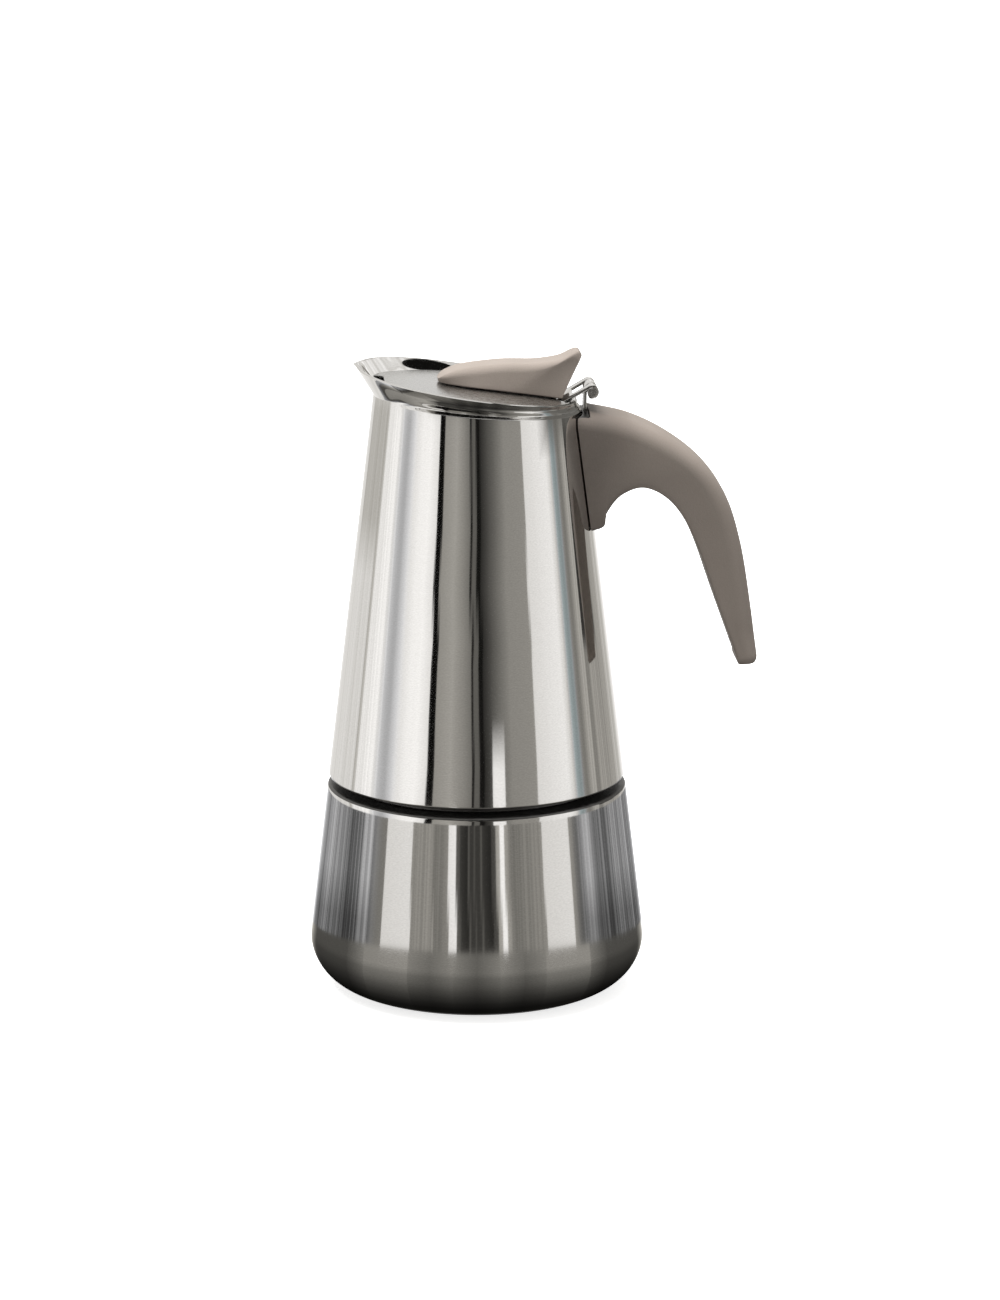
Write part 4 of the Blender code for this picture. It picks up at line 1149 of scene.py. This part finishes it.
def build_studio_wall(camera):
    """A round wall of soft boxes and flags with a dark table at its foot."""
    random.seed(7)
    streaks = [random.uniform(-1, 1) for _ in range(WALL_COLUMNS + 1)]
    angles = [mix(-LIMB_ANGLE, LIMB_ANGLE, i / WALL_COLUMNS) for i in range(WALL_COLUMNS + 1)]
    rows = []
    for lean, fade in TABLE_FADE:
        rows.append([(seen_on_table(camera, angle, math.radians(lean)),
                      band_level(TABLE_BANDS, angle) * mix(fade, 1.0, smooth(68, 82, abs(angle))))
                     for angle in angles])
    for z in (CONE_Z + 0.1, FOOT_Z):
        rows.append([(seen_on_wall(camera, angle, z), band_level(TABLE_BANDS, angle)) for angle in angles])
    for z in WALL_HEIGHTS:
        rows.append([(seen_on_wall(camera, angle, z), wall_level(angle, z, streaks[i // 3], streaks[i // 2]),
                      band_chill(angle, z)) for i, angle in enumerate(angles)])
    for rise in (0.02, 0.3, 0.33, 1.0):
        row = []
        for i, angle in enumerate(angles):
            spot = seen_on_wall(camera, angle, WALL_HEIGHTS[-1])
            spot.z = mix(spot.z, WALL_TOP, rise)
            level = max(band_level(UPPER_BANDS, angle), 0.82 if rise > 0.3 else 0.0)
            row.append((spot, level + streaks[i // 8] * 0.06))
        rows.append(row)
    stage_mesh("studio_wall", rows)


def build_front_flag(camera):
    """A black flag above the front of the pot, which shows in the far side of the collar."""
    rows = [[], []]
    for i in range(49):
        turn = 2 * math.pi * i / 48
        phi = math.radians(FLAG_PHI + FLAG_PHI_HALF * math.cos(turn))
        u = FLAG_U + FLAG_U_HALF * math.sin(turn)
        for row, (at_phi, at_u) in zip(rows, ((math.radians(FLAG_PHI), FLAG_U), (phi, u))):
            row.append((seen_in_collar(camera, at_phi, at_u, FLAG_REACH), 0.06))
    stage_mesh("front_flag", rows)


def build_collar_light(camera):
    """A bright screen above the front of the pot, which shows at the spout's end of the collar."""
    rows = []
    for k in range(5):
        row = []
        for i in range(61):
            phi = math.radians(mix(FLAG_PHI + FLAG_PHI_HALF - 4.0, 176.0, i / 60))
            level = 0.86 + 0.08 * math.sin(i * 0.9) * math.sin(i * 0.37) - 0.2 * smooth(0.8, 1.0, i / 60)
            row.append((seen_in_collar(camera, phi, 0.3 + 0.7 * k / 4, 230.0), level))
        rows.append(row)
    stage_mesh("collar_light", rows)


def build_table_sheets():
    """A pale sheet left of the pot and a dark one right of it, which show in the collar's outer face.

    They slope down away from the camera and are seen from above only, so the pot's walls don't show them.
    """
    for name, side, columns in (
            ("pale_sheet", -1, ((66.0, 0.15), (76.0, 0.45), (90.0, 0.60), (140.0, 0.52), (210.0, 0.45))),
            ("dark_sheet", 1, ((60.0, 0.30), (90.0, 0.36), (150.0, 0.34), (210.0, 0.30)))):
        rows = []
        for x, level in columns:
            row = []
            for y in (-30.0, 70.0, 170.0):
                row.append((Vector((x * side, y, (52.6 - 0.1 * x - 0.4 * y) / 0.9)), level))
            rows.append(row)
        stage_mesh(name, rows, one_sided=True)


def build_hinge_card():
    """A dark card just above the handle, which shows in the collar's outer face beside it."""
    rows = []
    for z in (164.0, 178.0, 205.0, 225.0):
        rows.append([(Vector((45.0, y, z)), 0.38) for y in (-40.0, -24.0, 0.0, 28.0, 46.0)])
    stage_mesh("hinge_card", rows, soft_edge=True)


def collar_inside(phi, u):
    r, z = collar_point(phi, max(u, 0.0))
    return around(r - JUG_WALL, phi, z)


def seen_in_collar(camera, phi, u, reach):
    """A point ahead of the view ray's reflection in the collar's inner face."""
    eye = camera.matrix_world.translation / MM
    point = collar_inside(phi, u)
    across = collar_inside(phi + 0.02, u) - collar_inside(phi - 0.02, u)
    up = collar_inside(phi, u + 0.02) - collar_inside(phi, u - 0.02)
    normal = across.cross(up).normalized()
    return point + (point - eye).normalized().reflect(normal) * reach


FLOOR_SIZE = 6.0                  # metres
FLOOR_DROP = 0.05                 # keeps the floor clear of the pot's flat base
FLOOR_GLOW = 0.75
WHITE = (1.0, 1.0, 1.0, 1.0)


def build_floor():
    """A pale floor that glows a little and is see-through from below, where the pot's base shows."""
    bm = bmesh.new()
    bmesh.ops.create_grid(bm, x_segments=1, y_segments=1, size=FLOOR_SIZE)
    floor = finish_mesh("floor", bm)
    nodes = surface("floor", 0.0, 0.6, 0.2)
    tone = nodes.tones(nodes.noise(nodes.stretched(), 40.0), (0.90, 0.90, 0.895), (0.92, 0.92, 0.915))
    nodes.feed(nodes.shader, {"Base Color": tone, "Emission Color": WHITE, "Emission Strength": FLOOR_GLOW})
    from_below = nodes.add("NewGeometry").outputs["Backfacing"]
    clear = nodes.add("BsdfTransparent").outputs[0]
    shown = nodes.blend(from_below, nodes.shader.outputs[0], clear)
    nodes.feed(nodes.tree.nodes["Material Output"], {"Surface": shown})
    floor.data.materials.append(nodes.owner)
    floor.location.z = -FLOOR_DROP * MM
    floor.visible_glossy = False
    floor.visible_diffuse = False


# What shows in a mirror, by how steeply the reflected ray rises (-1 is straight down): display brightness.
TABLE_LEVELS = (
    (-1.0, 0.075), (-0.97, 0.11), (-0.92, 0.14), (-0.84, 0.20), (-0.70, 0.24), (-0.50, 0.29),
    (-0.29, 0.34), (-0.17, 0.40), (-0.05, 0.45), (0.10, 0.80), (1.0, 0.80))


def build_world():
    """Pale surroundings for the eye and for soft light, and a dark table below for reflections."""
    world = bpy.data.worlds.new("studio")
    bpy.context.scene.world = world
    nodes = Nodes(world, emptied=True)
    rise = nodes.add("SeparateXYZ", {0: nodes.add("TexCoord").outputs["Generated"]}).outputs["Z"]
    ramp = nodes.add("ValToRGB", {"Fac": nodes.map(rise, -1.0, 1.0, 0.0, 1.0)})
    stops = ramp.color_ramp.elements
    while len(stops) < len(TABLE_LEVELS):
        stops.new(1.0)
    for stop, (height, shown) in zip(stops, TABLE_LEVELS):
        level = display_to_light(shown) / STEEL_TONE
        stop.position = (height + 1) / 2
        stop.color = (level, level * 0.985, level * 0.965, 1.0)
    mirror = nodes.add("Background", {"Color": ramp.outputs["Color"]}).outputs[0]
    soft = nodes.add("Background", {"Color": (1.0, 0.99, 0.975, 1.0),
                                    "Strength": nodes.map(rise, -0.3, 0.9, 0.30, 0.62)}).outputs[0]
    pale = nodes.add("Background", {"Color": WHITE}).outputs[0]
    path = nodes.add("LightPath")
    shown = nodes.blend(path.outputs["Is Glossy Ray"], soft, mirror)
    shown = nodes.blend(path.outputs["Is Camera Ray"], shown, pale)
    nodes.add("OutputWorld", {"Surface": shown})


def build_lights():
    data = bpy.data.lights.new("top_light", "SUN")
    data.energy = 3.7
    data.angle = math.radians(50)
    lamp = linked("top_light", data)
    lamp.rotation_euler = Vector((0.18, 0.02, -1.0)).to_track_quat("-Z", "Y").to_euler()
    lamp.visible_glossy = False


dress_frame_nodes()
build_boiler()
build_valve()
build_funnel()
build_seal()
build_jug_body()
build_jug_inside()
build_lid()
build_hinge()
build_knob()
build_handle()
main_camera = build_camera()
for build_stage in (build_studio_wall, build_front_flag, build_collar_light):
    build_stage(main_camera)
build_table_sheets()
build_hinge_card()
build_floor()
build_world()
build_lights()
bpy.context.scene.view_settings.view_transform = "Standard"
